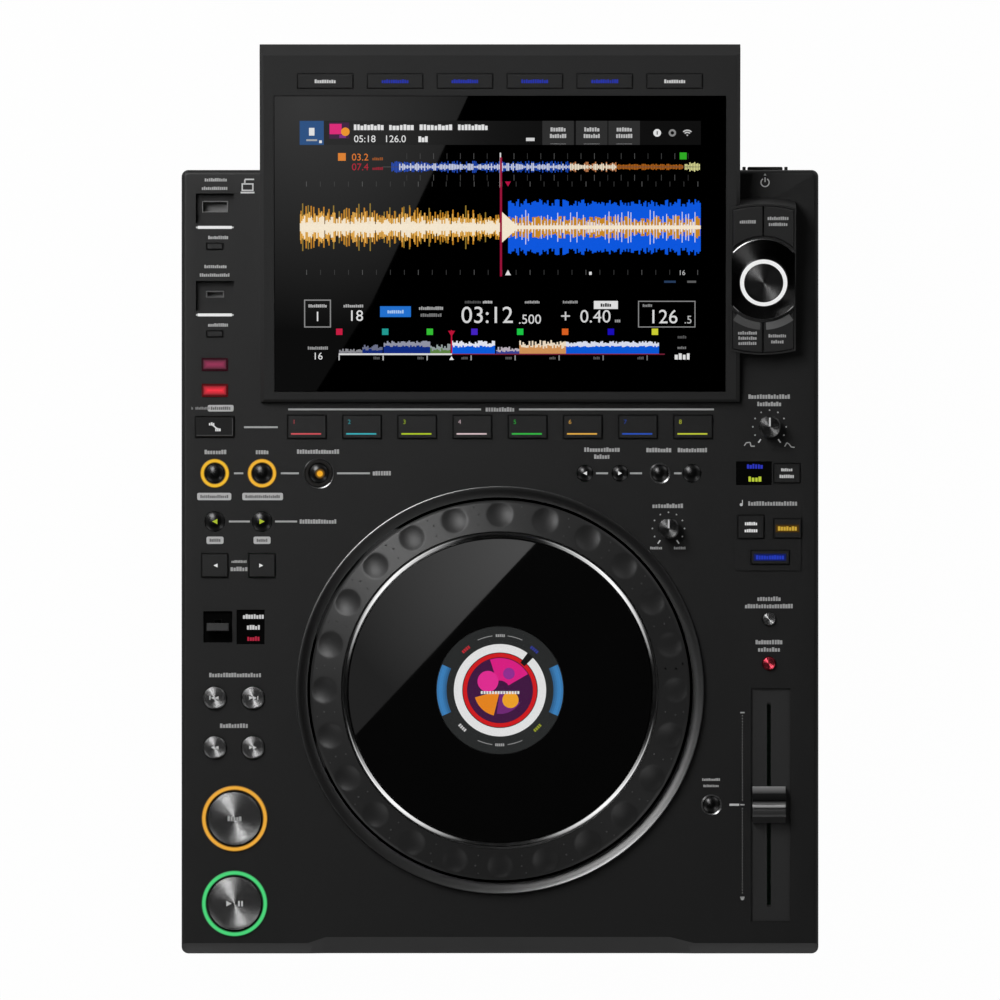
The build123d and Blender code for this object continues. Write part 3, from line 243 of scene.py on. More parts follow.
def mirror_spot(x, y, z, tilt, height):
    """Where the camera, mirrored in a surface tilted back about X, looks at that height."""
    spot = Vector((x, y, z)) * mm
    ray = spot - camera.location
    ray = ray.reflect(Vector((0, -sin(tilt), cos(tilt))))
    return spot + ray * (height - spot.z) / ray.z


def panel(name, outline, dim, bright_level=0.0, bright_spot=(0, 0, 0), reach=1.0):
    """A panel overhead that only reflections see, brightest near one spot."""
    mesh = bpy.data.meshes.new(name)
    mesh.from_pydata(outline, [], [list(range(len(outline)))])
    finish = Finish(name)
    fade = finish.from_axis(Vector(bright_spot) / mm) / reach
    level = finish.node("ShaderNodeMath", {"operation": "MAXIMUM"}, {0: 1 - fade, 1: 0.0})
    glow = {"Color": (1, 1, 1, 1), "Strength": level * bright_level + dim}
    mesh.materials.append(finish.done(finish.node("ShaderNodeEmission", None, glow)))
    made = bpy.data.objects.new(name, mesh)
    bpy.context.scene.collection.objects.link(made)
    made.visible_camera = made.visible_diffuse = made.visible_shadow = False
    made.visible_transmission = made.visible_volume_scatter = False
    made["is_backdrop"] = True


def square(x, y, half, height):
    """The corners of a level square in metres."""
    sides = ((-1, -1), (1, -1), (1, 1), (-1, 1))
    return [(x + side_x * half, y + side_y * half, height) for side_x, side_y in sides]


# A wide dark panel keeps reflections from straight above dark. The dim panels that the wheel's
# plate and the display's glass mirror hang just below it.
dark_height, dim_height, dark_half = 2.1, 2.0, 1.7
panel("dark_panel", square(0.0, 0.0, dark_half, dark_height), 0.0)

# A square soft light high at the upper left gives the deck its sheen and the bezel its gleam.
soft_x, soft_y, soft_half, soft_height, soft_level = -0.66, 0.64, 0.36, 1.9, 4.2
panel("soft_panel", square(soft_x, soft_y, soft_half, soft_height), soft_level)

# Four tall soft lights stand round the table, corner to corner. Steep chrome mirrors them.
wall_distance, wall_low, wall_high = 1.3, 0.12, 0.8
wall_level, wall_reach = 1.6, 0.72
for turn in (45, 135, 225, 315):
    out = Vector((cos(radians(turn)), sin(radians(turn)), 0))
    along = Vector((-out.y, out.x, 0)) * wall_distance
    foot = out * wall_distance + Vector((0, 0, wall_low))
    head = out * wall_distance + Vector((0, 0, wall_high))
    wall = [foot - along, foot + along, head + along, head - along]
    panel(f"wall_panel_{turn}", wall, 0.0, wall_level, out * wall_distance, wall_reach)


# ---- Top cover -------------------------------------------------------------------------------
# The deck is moulded in black plastic and sprayed with a satin paint that has a very fine grain.
# The moulded shape stays as it is; only its arcs are smoothed.
crease_angle = 32  # degrees; where faces meet more sharply than this, the edge stays sharp
weld_distance = 0.002


def smooth_arcs(node):
    """Round faces of a CAD node shade smoothly, and its real edges stay sharp."""
    tree = bpy.data.node_groups.get("smooth_arcs")
    if tree is None:
        tree = bpy.data.node_groups.new("smooth_arcs", "GeometryNodeTree")
        tree.interface.new_socket("Mesh", in_out="INPUT", socket_type="NodeSocketGeometry")
        tree.interface.new_socket("Edge angle", in_out="INPUT", socket_type="NodeSocketFloat")
        tree.interface.new_socket("Mesh", in_out="OUTPUT", socket_type="NodeSocketGeometry")
        start = tree.nodes.new("NodeGroupInput")
        bare = tree.nodes.new("GeometryNodeRemoveAttribute")
        bare.inputs["Name"].default_value = "custom_normal"
        joined = tree.nodes.new("GeometryNodeMergeByDistance")
        joined.inputs["Distance"].default_value = weld_distance * mm
        soft = tree.nodes.new("GeometryNodeSetShadeSmooth")
        fold = tree.nodes.new("GeometryNodeInputMeshEdgeAngle")
        sharp = tree.nodes.new("ShaderNodeMath")
        sharp.operation = "GREATER_THAN"
        hard = tree.nodes.new("GeometryNodeSetShadeSmooth")
        hard.domain = "EDGE"
        hard.inputs["Shade Smooth"].default_value = False
        finish = tree.nodes.new("NodeGroupOutput")
        for first, second in (
            (start.outputs[0], bare.inputs[0]),
            (bare.outputs[0], joined.inputs[0]),
            (joined.outputs[0], soft.inputs[0]),
            (soft.outputs[0], hard.inputs[0]),
            (fold.outputs[0], sharp.inputs[0]),
            (start.outputs[1], sharp.inputs[1]),
            (sharp.outputs[0], hard.inputs["Selection"]),
            (hard.outputs[0], finish.inputs[0]),
        ):
            tree.links.new(first, second)
    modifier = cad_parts[node].modifiers.new("smooth_arcs", "NODES")
    modifier.node_group = tree
    modifier["Socket_1"] = radians(crease_angle)


def dress(material, *nodes):
    """Give CAD nodes their finish, with smooth arcs."""
    for node in nodes:
        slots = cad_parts[node].data.materials
        slots.clear()
        slots.append(material)
        smooth_arcs(node)


def satin(name, dark, light, roughness, grain=0.35, relief=0.02):
    """Satin black plastic: a fine grain, a slow drift of tone and of sheen."""
    finish = Finish(name)
    fine = finish.speckle(grain * mm, detail=2.0)
    slow = finish.speckle(60 * mm, detail=3.0)
    colour = finish.blend(fine * 0.55 + slow * 0.45, shade(dark), shade(light))
    sheen = finish.speckle(25 * mm, detail=4.0) * 0.06 + fine * 0.05 + (roughness - 0.05)
    skin = finish.skin(colour, Roughness=sheen, Normal=finish.bump(fine, 0.35, relief * mm))
    return finish.done(skin)


dress(satin("deck_satin_black", 10, 17, 0.5), "top_cover")

# ---- Base pan --------------------------------------------------------------------------------
# A folded steel pan, powder-coated black with a coarser grain, screwed up into the cover. It
# closes the player from below, and carries the boards and the feet.
dress(satin("pan_powder_coat", 20, 32, 0.62, grain=0.9, relief=0.06), "base_pan")

# ---- Rubber feet -----------------------------------------------------------------------------
# Four moulded rubber pucks with a dull, slightly dusty face, fixed under the pan near its
# corners.
dress(satin("foot_rubber", 24, 40, 0.85, grain=0.6, relief=0.05), "rubber_feet")

# ---- Boards inside ---------------------------------------------------------------------------
# Green fibreglass boards with their parts, closed in between the pan and the cover. The bodies
# of the fader, the potentiometers and the encoder, under the deck, belong to them.
board_finish = Finish("board_green")
tracks = board_finish.speckle(1.2 * mm, detail=4.0, stretch=(1, 6, 1)) > 0.52
board_colour = board_finish.blend(tracks, shade((18, 66, 40)), shade((30, 92, 58)))
dress(board_finish.done(board_finish.skin(board_colour, Roughness=0.35)), "electronics")

# ---- Jog wheel ring --------------------------------------------------------------------------
# The rim is moulded in rubber-touch plastic: a cone with 24 finger dimples pressed into it and
# small raised pips in the gaps. Its web turns round the hub's post.
wheel_x, wheel_y = 0.0, -98.1
wheel_radius, wheel_foot = 98.0, 80.0
cone_start = 82.0  # from the chrome ring out
cone_top, cone_foot = 98.4, 93.6
edge_drop, edge_share = 0.35, 0.08  # how the cone's outer edge is rounded over
edge_width = 0.9
ledge_height, ledge_bore = 95.9, 74.0  # the plate lies here
web_top, web_bore = 86.5, 15.5
skirt_bore, skirt_top = 95.0, 92.9
dimple_count = 24
dimple_line = 90.7  # how far from the middle the dimples lie
dimple_reach = 6.7
dimple_depth = 1.25
ring_parts = 720
ring_rows = 34


class Form:
    """A mesh in the making, in millimetres on its own plane, with a colour on each face."""

    ink = 0.06  # thickness of a printed or lit mark

    def __init__(self, place=None):
        self.mesh = bmesh.new()
        self.tint = self.mesh.loops.layers.float_color.new("tint")
        self.place = place or Matrix()

    def point(self, x, y, z):
        return self.mesh.verts.new(self.place @ (Vector((x, y, z)) * mm))

    def face(self, points, colour=(0, 0, 0)):
        corners = [point for number, point in enumerate(points) if point not in points[:number]]
        for loop in self.mesh.faces.new(corners).loops:
            loop[self.tint] = (*colour, 1)

    def turn(self, profile, x=0.0, y=0.0, parts=96, closed=False, colour=(0, 0, 0)):
        """Turn (radius, height) points, listed counterclockwise, round an upright axis."""
        rings = []
        for radius, height in profile:
            angles = [2 * pi * step / parts for step in range(parts if radius else 1)]
            rings.append([
                self.point(x + radius * cos(a), y + radius * sin(a), height) for a in angles
            ])
        for low, high in zip(rings, rings[1:] + rings[: 1 if closed else 0]):
            for step in range(parts):
                after = (step + 1) % parts
                ends = (low[step % len(low)], low[after % len(low)])
                ends += (high[after % len(high)], high[step % len(high)])
                self.face(ends, colour)

    def slab(self, outline, colour, low=0.0, high=ink):
        """A plate with a counterclockwise outline."""
        under = [self.point(x, y, low) for x, y in outline]
        over = [self.point(x, y, high) for x, y in outline]
        self.face(under[::-1], colour)
        self.face(over, colour)
        for step in range(len(outline)):
            after = (step + 1) % len(outline)
            self.face([under[step], under[after], over[after], over[step]], colour)

    def bar(self, x, y, width, depth, colour, low=0.0, high=ink):
        across, along = width / 2, depth / 2
        corners = [(x - across, y - along), (x + across, y - along)]
        corners += [(x + across, y + along), (x - across, y + along)]
        self.slab(corners, colour, low, high)

    def frame(self, x, y, width, depth, line, colour, low=0.0, high=ink):
        """Four bars round a rectangle, inside its outline."""
        for side in (-1, 1):
            self.bar(x, y + side * (depth - line) / 2, width, line, colour, low, high)
            self.bar(x + side * (width - line) / 2, y, line, depth - 2 * line, colour, low, high)

    def arc(self, x, y, inner, outer, start, sweep, colour, low=0.0, high=ink):
        """A piece of a flat ring, from a start angle in degrees."""
        steps = max(2, int(sweep / 4))
        angles = [radians(start + sweep * step / steps) for step in range(steps + 1)]
        outline = [(x + outer * cos(a), y + outer * sin(a)) for a in angles]
        if inner:
            outline += [(x + inner * cos(a), y + inner * sin(a)) for a in reversed(angles)]
        else:
            outline.append((x, y))
        self.slab(outline, colour, low, high)

    def disc(self, x, y, radius, colour, low=0.0, high=ink, parts=32):
        angles = [2 * pi * step / parts for step in range(parts)]
        outline = [(x + radius * cos(a), y + radius * sin(a)) for a in angles]
        self.slab(outline, colour, low, high)

    def piece(self, name, material, body, stands_for=(), slot=None):
        """Finish the mesh as a named piece that rides on a body."""
        mesh = bpy.data.meshes.new(name)
        self.mesh.to_mesh(mesh)
        self.mesh.free()
        mesh.materials.append(material)
        mesh.shade_smooth()
        mesh.set_sharp_from_angle(angle=radians(crease_angle))
        made = bpy.data.objects.new(name, mesh)
        bpy.context.scene.collection.objects.link(made)
        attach(made, body)
        if stands_for:
            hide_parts(*stands_for)


rim = Form()
cone_width = wheel_radius - edge_width - cone_start
rows = [cone_start + cone_width * row / ring_rows for row in range(ring_rows + 1)]
under_profile = [
    (cone_start - 0.1, ledge_height + 0.05), (ledge_bore, ledge_height), (ledge_bore, web_top),
    (web_bore, web_top), (web_bore, deck_height),
    (skirt_bore, deck_height), (skirt_bore, wheel_foot),
    (wheel_radius, wheel_foot), (wheel_radius, skirt_top), (wheel_radius - 0.3, skirt_top + 0.4),
]


def rim_height(radius, angle):
    """Height of the rim's face, with the nearest dimple pressed into it."""
    slope = (radius - cone_start) / (wheel_radius - cone_start)
    rounding = edge_drop * max(0.0, slope - (1 - edge_share)) / edge_share
    base = cone_top + (cone_foot - cone_top) * slope - rounding
    nearest = round(angle * dimple_count / (2 * pi)) * 2 * pi / dimple_count
    along, across = radius - dimple_line * cos(angle - nearest), dimple_line * sin(angle - nearest)
    share = sqrt(along**2 + across**2) / dimple_reach
    if share >= 1:
        return base
    bowl = (1 - share**2) * (1 - 0.25 * share**8)
    return base - dimple_depth * bowl


spokes = [2 * pi * step / ring_parts for step in range(ring_parts)]
rings = []
for radius, level in [(radius, None) for radius in reversed(rows)] + under_profile:
    rings.append([])
    for angle in spokes:
        height = rim_height(radius, angle) if level is None else level
        spot = (wheel_x + radius * cos(angle), wheel_y + radius * sin(angle), height)
        rings[-1].append(rim.point(*spot))
for first, second in zip(rings, rings[1:] + rings[:1]):
    for step in range(ring_parts):
        after = (step + 1) % ring_parts
        rim.face([first[step], first[after], second[after], second[step]])
rim_finish = satin("wheel_soft_black", 37, 48, 0.42, grain=0.4, relief=0.03)
rim.piece("jog_wheel_rim", rim_finish, "jog_wheel", ["jog_ring"])

# ---- Chrome ring -----------------------------------------------------------------------------
# A thin ring of polished chrome-plated metal, pressed into the rim round the top plate. It
# turns with the wheel.
chrome_inner, chrome_crest, chrome_outer = 78.5, 80.2, 81.85
chrome_seat, chrome_top = 96.0, 98.6
chrome = Form()
chrome_profile = [(chrome_inner, chrome_seat), (chrome_outer, chrome_seat)]
chrome_profile += [(chrome_outer, chrome_seat + 1.3), (chrome_crest, chrome_top)]
chrome_profile += [(chrome_inner, chrome_seat + 1.25)]
chrome.turn(chrome_profile, wheel_x, wheel_y, parts=240, closed=True)
chrome_finish = Finish("polished_chrome")
swirl = chrome_finish.speckle(4 * mm, detail=3.0)
chrome_colour = chrome_finish.blend(swirl, shade(205), shade(225))
chrome_skin = chrome_finish.skin(chrome_colour, Metallic=1.0, Roughness=swirl * 0.08 + 0.12)
chrome.piece("jog_chrome_ring", chrome_finish.done(chrome_skin), "jog_wheel", slot="metal")

# ---- Top plate of the wheel ------------------------------------------------------------------
# Polished black acrylic, 2 mm thick, left clear in the middle over the display below it. It
# lies on the rim's ledge and turns with the rim.
plate_radius, plate_under, plate_top = 78.25, 96.0, 98.0
window_radius = 33.2
plate_bevel = 0.25
plate = Form()
plate_profile = [(window_radius, plate_under), (plate_radius, plate_under)]
plate_profile += [(plate_radius, plate_top - plate_bevel), (plate_radius - plate_bevel, plate_top)]
plate_profile += [(window_radius, plate_top)]
plate.turn(plate_profile, wheel_x, wheel_y, parts=240, closed=True)


def glossy(name, dark, roughness=0.0, **sockets):
    """Polished black plastic or glass, with the faintest waviness in its sheen."""
    finish = Finish(name)
    waves = finish.speckle(40 * mm, detail=2.0)
    colour = finish.blend(waves, shade(dark), shade(dark + 3))
    return finish.done(finish.skin(colour, Roughness=waves * 0.02 + roughness, **sockets))


gloss_black = glossy("gloss_black_acrylic", 20)
plate.piece("jog_top_plate", gloss_black, "jog_wheel", ["jog_plate"])
window = Form()
window.turn(
    [(0, plate_under), (window_radius, plate_under), (window_radius, plate_top), (0, plate_top)],
    wheel_x, wheel_y, parts=120,
)
clear = Finish("clear_acrylic")
haze = clear.speckle(30 * mm, detail=2.0)
clear_skin = clear.skin((1, 1, 1), Roughness=haze * 0.02, IOR=1.45, Transmission_Weight=1.0)
window.piece("jog_window", clear.done(clear_skin), "jog_wheel", slot="screen")

# The plate mirrors a dim panel in its upper left part, brightest near the top.
plate_sheen = ((18.1, -22.4), (10, -15), (-60, -15), (-95, -60), (-95, -143), (-36.2, -80.3))
plate_panel = [mirror_spot(x, y, plate_top, 0, dim_height) for x, y in plate_sheen]
plate_glow = mirror_spot(12, -24, plate_top, 0, dim_height)
plate_dim, plate_bright, plate_reach = 0.35, 1.3, 0.125
panel("plate_panel", plate_panel, plate_dim, plate_bright, plate_glow, plate_reach)

# ---- Wheel's display -------------------------------------------------------------------------
# A small round screen fixed under the clear middle of the plate. It shows a white ring with a
# black marker, a red ring, two blue arcs and a patch of abstract art.
def glowing(name, roughness=0.1):
    """Lit from behind: each mark glows in its own colour, over black glass."""
    finish = Finish(name)
    colour = finish.node("ShaderNodeAttribute", {"attribute_name": "tint"})
    fine = finish.speckle(0.6 * mm, detail=2.0)
    lit = finish.blend(fine * 0.22, colour, (0, 0, 0))
    skin = finish.skin(shade(4), Roughness=roughness, Emission_Color=lit, Emission_Strength=1.0)
    return finish.done(skin)


screen_glow = glowing("screen_glow")
dial_height = 95.78
dial = Form(Matrix.Translation(Vector((wheel_x, wheel_y, dial_height)) * mm))


def dial_layer(inner, outer, low, high, colour, parts=120):
    """A thin disc or ring of the round display, above its glass."""
    section = [(inner, low), (outer, low), (outer, high), (inner, high)]
    dial.turn(section, parts=parts, closed=inner > 0, colour=colour)


dial_layer(0, 32.8, 0, 0.03, shade((38, 40, 40)))
dial_layer(19.5, 23.8, 0.02, 0.08, shade(238))
dial_layer(0, 19.4, 0.02, 0.06, shade((20, 6, 8)))
dial_layer(17, 19.1, 0.06, 0.1, shade((214, 22, 28)))
dial.arc(0, 0, 17.6, 24.0, 44.5, 9, shade(4), 0.08, 0.13)

# Round the rings: blue arcs at the sides, and words as blocks at the top, the foot and the corners.
mark_low, mark_high = 0.03, 0.1
for start in (-24, 156):
    for step, level in enumerate((0.55, 0.75, 0.95, 1.0, 0.85)):
        blue = tuple(level * part for part in shade((62, 132, 194)))
        dial.arc(0, 0, 27.6 + step, 28.6 + step, start, 48, blue, mark_low, mark_high)
for middle in (90, 270):
    for side in (-1, 1):
        start = middle + side * 16 - 8
        dial.arc(0, 0, 28.1, 28.5, start, 16, shade(150), mark_low, mark_high)
    for letter in range(5):
        dial.arc(0, 0, 27.5, 28.9, middle - 5 + 2 * letter, 1.4, shade(165), mark_low, mark_high)
corner_words = {130: (190, 40, 52), 50: (48, 58, 150), 225: (205, 205, 205), 315: (150, 158, 40)}
for angle, colour in corner_words.items():
    for letter in range(4):
        dial.arc(
            0, 0, 26.6, 28.2, angle - 5 + 2.6 * letter, 1.9, shade(colour), mark_low, mark_high
        )

# The patch of art in the middle: bands as (reach, start, sweep, colour) and discs as (x, y,
# radius, colour), with a row of blocks across them.
art_low, art_step = 0.06, 0.02
dial_layer(0, 16.9, art_low, 0.08, shade((66, 14, 66)), parts=96)
art_bands = [
    (13.6, 30, 78, (228, 26, 134)), (10.4, 196, 60, (242, 138, 28)),
    (9.2, 262, 66, (116, 40, 120)),
]
for step, (reach, start, sweep, colour) in enumerate(art_bands):
    low = 0.08 + art_step * step
    dial.arc(0, 0, reach - 8.6, reach + 3.0, start, sweep, shade(colour), low, low + art_step)
art_discs = [(-6.2, 4.6, 5.4, (236, 44, 150)), (5.4, -5.0, 4.2, (250, 168, 40))]
art_discs.append((4.6, 8.6, 3.0, (150, 46, 150)))
for x, y, radius, colour in art_discs:
    dial.disc(x, y, radius, shade(colour), 0.12, 0.15)
for letter in range(14):
    dial.bar(-9.4 + 1.45 * letter, -1.2, 1.0, 1.5, shade(235), 0.15, 0.18)
dial.piece("jog_display_picture", screen_glow, "console", slot="screen")
dress(glossy("dial_black_glass", 6), "jog_hub")

# ---- Wheel's bezel ---------------------------------------------------------------------------
# A ring of smoked black metal round the wheel. Its face is dished: it rises ever more steeply
# from the wheel to the outer edge, which is rounded over.
bezel_inner, bezel_outer, bezel_side = 99.5, 105.3, 3.0
bezel_lip, bezel_rise, bezel_curve = 86.1, 1.5, 1.7
bezel_rounding, bezel_steps = 0.5, 12
bezel_top = deck_height + bezel_side + bezel_rounding
bezel = Form()
bezel_profile = [(bezel_inner, deck_height), (bezel_outer, deck_height)]
bezel_profile += [(bezel_outer, deck_height + bezel_side), (bezel_outer - 0.2, bezel_top)]
dish_width = bezel_outer - bezel_rounding - bezel_inner
for step in range(bezel_steps + 1):
    share = 1 - step / bezel_steps
    bezel_profile.append(
        (bezel_inner + dish_width * share, bezel_lip + bezel_rise * share**bezel_curve)
    )
bezel.turn(bezel_profile, wheel_x, wheel_y, parts=240, closed=True)
bezel_metal = glossy("bezel_black_metal", 126, roughness=0.3, Metallic=1.0)
bezel.piece("jog_bezel_ring", bezel_metal, "console", ["jog_bezel"])

# ---- Display housing -------------------------------------------------------------------------
# A tilted plastic housing, a little smoother than the deck, with the selector's island on it.
# It stands on the deck and overhangs its back.
housing_finish = satin("housing_satin_black", 43, 51, 0.44)
dress(housing_finish, "display_housing")
tilt = radians(9.5)
lip_y, lip_height = 50.7, 89.0


def on_slope(x, line, rise=0.0):
    """The plane on the display's slope at x, that far up from its lip and above it."""
    y = lip_y + line * cos(tilt) - rise * sin(tilt)
    z = lip_height + line * sin(tilt) + rise * cos(tilt)
    return Matrix.Translation(Vector((x, y, z)) * mm) @ Matrix.Rotation(tilt, 4, "X")


# ---- Display glass ---------------------------------------------------------------------------
# One sheet of black glass, the touch screen, bonded into a pocket of the housing. What the
# screen shows is laid on its face as thin glowing pieces.
dress(glossy("display_black_glass", 2), "display_glass")
glass_middle_line, glass_rise = 82.45, -0.2
glass_sheen = ((-10.6, 172), (-125, 172), (-125, 2), (-97, 2), (-66, 52))
glass_glow = (-100, 156)
glass_dim, glass_bright, glass_reach = 0.1, 0.85, 0.155


def mirrored_by_glass(x, line):
    """Where the camera, mirrored in the glass at that place, looks at the dim panels' height."""
    _, y, z = on_slope(x, line).translation / mm
    return mirror_spot(x, y, z, tilt, dim_height)


glass_panel = [mirrored_by_glass(x, line) for x, line in glass_sheen]
panel(
    "glass_panel", glass_panel, glass_dim, glass_bright, mirrored_by_glass(*glass_glow), glass_reach
)

# ---- What the display shows ------------------------------------------------------------------
# A status strip, an overview, a large waveform with its marker, a row of figures and a strip of
# the whole track. Words are left as rows of small blocks, and the figures are plain numbers.
def add_mesh(form, mesh, colour, x=0.0, y=0.0, low=0.0):
    """Add a mesh in metres to a form, moved across its plane."""
    points = [
        form.point(v.co.x / mm + x, v.co.y / mm + y, v.co.z / mm + low) for v in mesh.vertices
    ]
    for polygon in mesh.polygons:
        form.face([points[corner] for corner in polygon.vertices], colour)
    bpy.data.meshes.remove(mesh)


def plain_mesh(holder):
    """The evaluated object as a plain mesh; the object itself is thrown away."""
    bpy.context.view_layer.update()
    shown = holder.evaluated_get(bpy.context.evaluated_depsgraph_get())
    mesh = bpy.data.meshes.new_from_object(shown)
    bpy.data.objects.remove(holder)
    return mesh


def figures(form, text, x, y, size, colour, low=0.0):
    """Plain figures, centred on a spot, that high."""
    curve = bpy.data.curves.new("figures", "FONT")
    curve.body = text
    curve.size = size * 1.38 * mm
    curve.extrude = Form.ink / 2 * mm
    curve.align_x, curve.align_y = "CENTER", "CENTER"
    holder = bpy.data.objects.new("figures", curve)
    bpy.context.scene.collection.objects.link(holder)
    mesh = plain_mesh(holder)
    add_mesh(form, mesh, colour, x, y, low + Form.ink / 2)


def blocks(form, x, y, width, height, colour, low=0.0):
    """A row of small blocks in the place of a word, centred on a spot."""
    dice = Random(round(x * 10 + y))
    count = max(2, round(width / (height * 0.62)))
    pitch = width / count
    for number in range(count):
        left = x - width / 2 + (number + 0.5) * pitch
        tall = height * dice.choice((1, 0.9, 0.78))
        broad = pitch * dice.choice((0.86, 0.78, 0.7))
        form.bar(left, y - (height - tall) / 2, broad, tall, colour, low, low + Form.ink)


def bars_tree():
    """A row of upright bars of random height, for waveforms."""
    tree = bpy.data.node_groups.get("wave_bars")
    if tree:
        return tree
    tree = bpy.data.node_groups.new("wave_bars", "GeometryNodeTree")
    for name, kind in (
        ("Mesh", "NodeSocketGeometry"),
        ("Count", "NodeSocketInt"),
        ("Start", "NodeSocketVector"),
        ("Step", "NodeSocketVector"),
        ("Width", "NodeSocketFloat"),
        ("Least height", "NodeSocketFloat"),
        ("Most height", "NodeSocketFloat"),
        ("Thickness", "NodeSocketFloat"),
        ("Seed", "NodeSocketInt"),
        ("Material", "NodeSocketMaterial"),
    ):
        tree.interface.new_socket(name, in_out="INPUT", socket_type=kind)
    tree.interface.new_socket("Mesh", in_out="OUTPUT", socket_type="NodeSocketGeometry")
    start = tree.nodes.new("NodeGroupInput").outputs
    line = tree.nodes.new("GeometryNodeMeshLine")
    cube = tree.nodes.new("GeometryNodeMeshCube")
    placed = tree.nodes.new("GeometryNodeInstanceOnPoints")
    height = tree.nodes.new("FunctionNodeRandomValue")
    scale = tree.nodes.new("ShaderNodeCombineXYZ")
    solid = tree.nodes.new("GeometryNodeRealizeInstances")
    coat = tree.nodes.new("GeometryNodeSetMaterial")
    end = tree.nodes.new("NodeGroupOutput")
    height.data_type = "FLOAT"
    for first, second in (
        (start["Count"], line.inputs["Count"]),
        (start["Start"], line.inputs["Start Location"]),
        (start["Step"], line.inputs["Offset"]),
        (start["Least height"], height.inputs[2]),
        (start["Most height"], height.inputs[3]),
        (start["Seed"], height.inputs["Seed"]),
        (start["Width"], scale.inputs[0]),
        (height.outputs[1], scale.inputs[1]),
        (start["Thickness"], scale.inputs[2]),
        (line.outputs[0], placed.inputs["Points"]),
        (cube.outputs[0], placed.inputs["Instance"]),
        (scale.outputs[0], placed.inputs["Scale"]),
        (placed.outputs[0], solid.inputs[0]),
        (solid.outputs[0], coat.inputs[0]),
        (start["Material"], coat.inputs["Material"]),
        (coat.outputs[0], end.inputs[0]),
    ):
        tree.links.new(first, second)
    return tree


def grown(name, tree, **values):
    """Run a node tree with its named inputs set, and give the plain mesh."""
    mesh = bpy.data.meshes.new(name)
    holder = bpy.data.objects.new(name, mesh)
    bpy.context.scene.collection.objects.link(holder)
    modifier = holder.modifiers.new(name, "NODES")
    modifier.node_group = tree
    inputs = [item for item in tree.interface.items_tree if item.in_out == "INPUT"]
    sockets = {item.name.replace(" ", "_"): item for item in inputs}
    for key, value in values.items():
        modifier[sockets[key].identifier] = value
    return plain_mesh(holder)


picture = Form(on_slope(0, glass_middle_line, glass_rise + 0.02))
screen_white, screen_grey, screen_dim = shade(232), shade(140), shade(72)
blue, cream = shade((22, 92, 232)), shade((255, 240, 214))
picture_left, picture_right = -103.1, 103.4


def wave(start, end, middle, least, most, colour, seed, low, pitch=0.8, width=0.62, standing=False):
    """A stretch of waveform: bars between two x places, centred on a line or standing on it."""
    count = int((end - start) / pitch)
    mesh = grown(
        "wave", bars_tree(), Count=count, Start=Vector((start + pitch / 2, 0, 0)) * mm,
        Step=Vector((pitch, 0, 0)) * mm, Width=width * mm, Least_height=least * mm,
        Most_height=most * mm, Thickness=0.04 * mm, Seed=seed, Material=screen_glow,
    )
    if standing:
        for vertex in mesh.vertices:
            if vertex.co.y < 0:
                vertex.co.y = 0
            else:
                vertex.co.y *= 2
    add_mesh(picture, mesh, colour, 0, middle, low)


# Status strip along the top.
strip_line, strip_depth = 57.7, 12.5
picture.bar(0.2, strip_line, 206.4, strip_depth, shade(24), 0.0, 0.03)
picture.bar(-96.9, strip_line, 12.4, strip_depth, shade((34, 78, 130)), 0.03)
picture.bar(-96.9, strip_line + 0.6, 2.8, 4.0, screen_white, 0.06, 0.1)
picture.bar(-96.9, strip_line - 3.8, 5.6, 0.9, shade(170), 0.06, 0.1)
picture.bar(-92.4, strip_line - 4.6, 1.4, 1.4, screen_white, 0.06, 0.1)
picture.bar(-82.8, strip_line + 1.2, 10.4, 8.4, shade((60, 14, 60)), 0.03)
picture.bar(-84.6, strip_line + 2.0, 6.2, 5.4, shade((226, 30, 120)), 0.06, 0.09)
picture.disc(-79.6, strip_line + 0.6, 2.2, shade((244, 150, 34)), 0.06, 0.1)
picture.bar(-81.0, strip_line - 1.8, 3.4, 1.6, shade((128, 40, 130)), 0.06, 0.09)
for x, width in ((-67.6, 15.6), (-50.8, 13.0), (-33.0, 17.0), (-14.0, 15.6)):
    blocks(picture, x, 60.6, width, 2.9, screen_white, 0.03)
figures(picture, "05:18", -69.6, 54.4, 3.7, screen_white, 0.03)
figures(picture, "126.0", -54.0, 54.4, 3.7, screen_white, 0.03)
blocks(picture, -39.6, 54.4, 5.0, 3.0, screen_white, 0.03)
picture.bar(15.6, 54.3, 4.4, 1.7, shade(215), 0.03)
for x in (29.9, 47.2, 63.9):
    picture.bar(x, strip_line, 16.2, strip_depth, shade(52), 0.03)
    blocks(picture, x, strip_line + 1.8, 8.0, 2.1, shade(190), 0.06)
    blocks(picture, x, strip_line - 1.6, 8.6, 2.1, shade(190), 0.06)
    picture.bar(x, strip_line - 5.7, 8.2, 0.5, shade(130), 0.06)
picture.disc(80.9, strip_line, 2.0, screen_white, 0.03)
picture.bar(80.9, strip_line, 0.5, 1.8, shade(30), 0.06, 0.13)
picture.arc(88.7, strip_line, 0.9, 1.9, 0, 358, screen_grey, 0.03)
for inner in (0.0, 1.5, 2.6):
    picture.arc(96.4, strip_line - 1.6, inner, inner + 0.7, 45, 90, shade(200), 0.03)

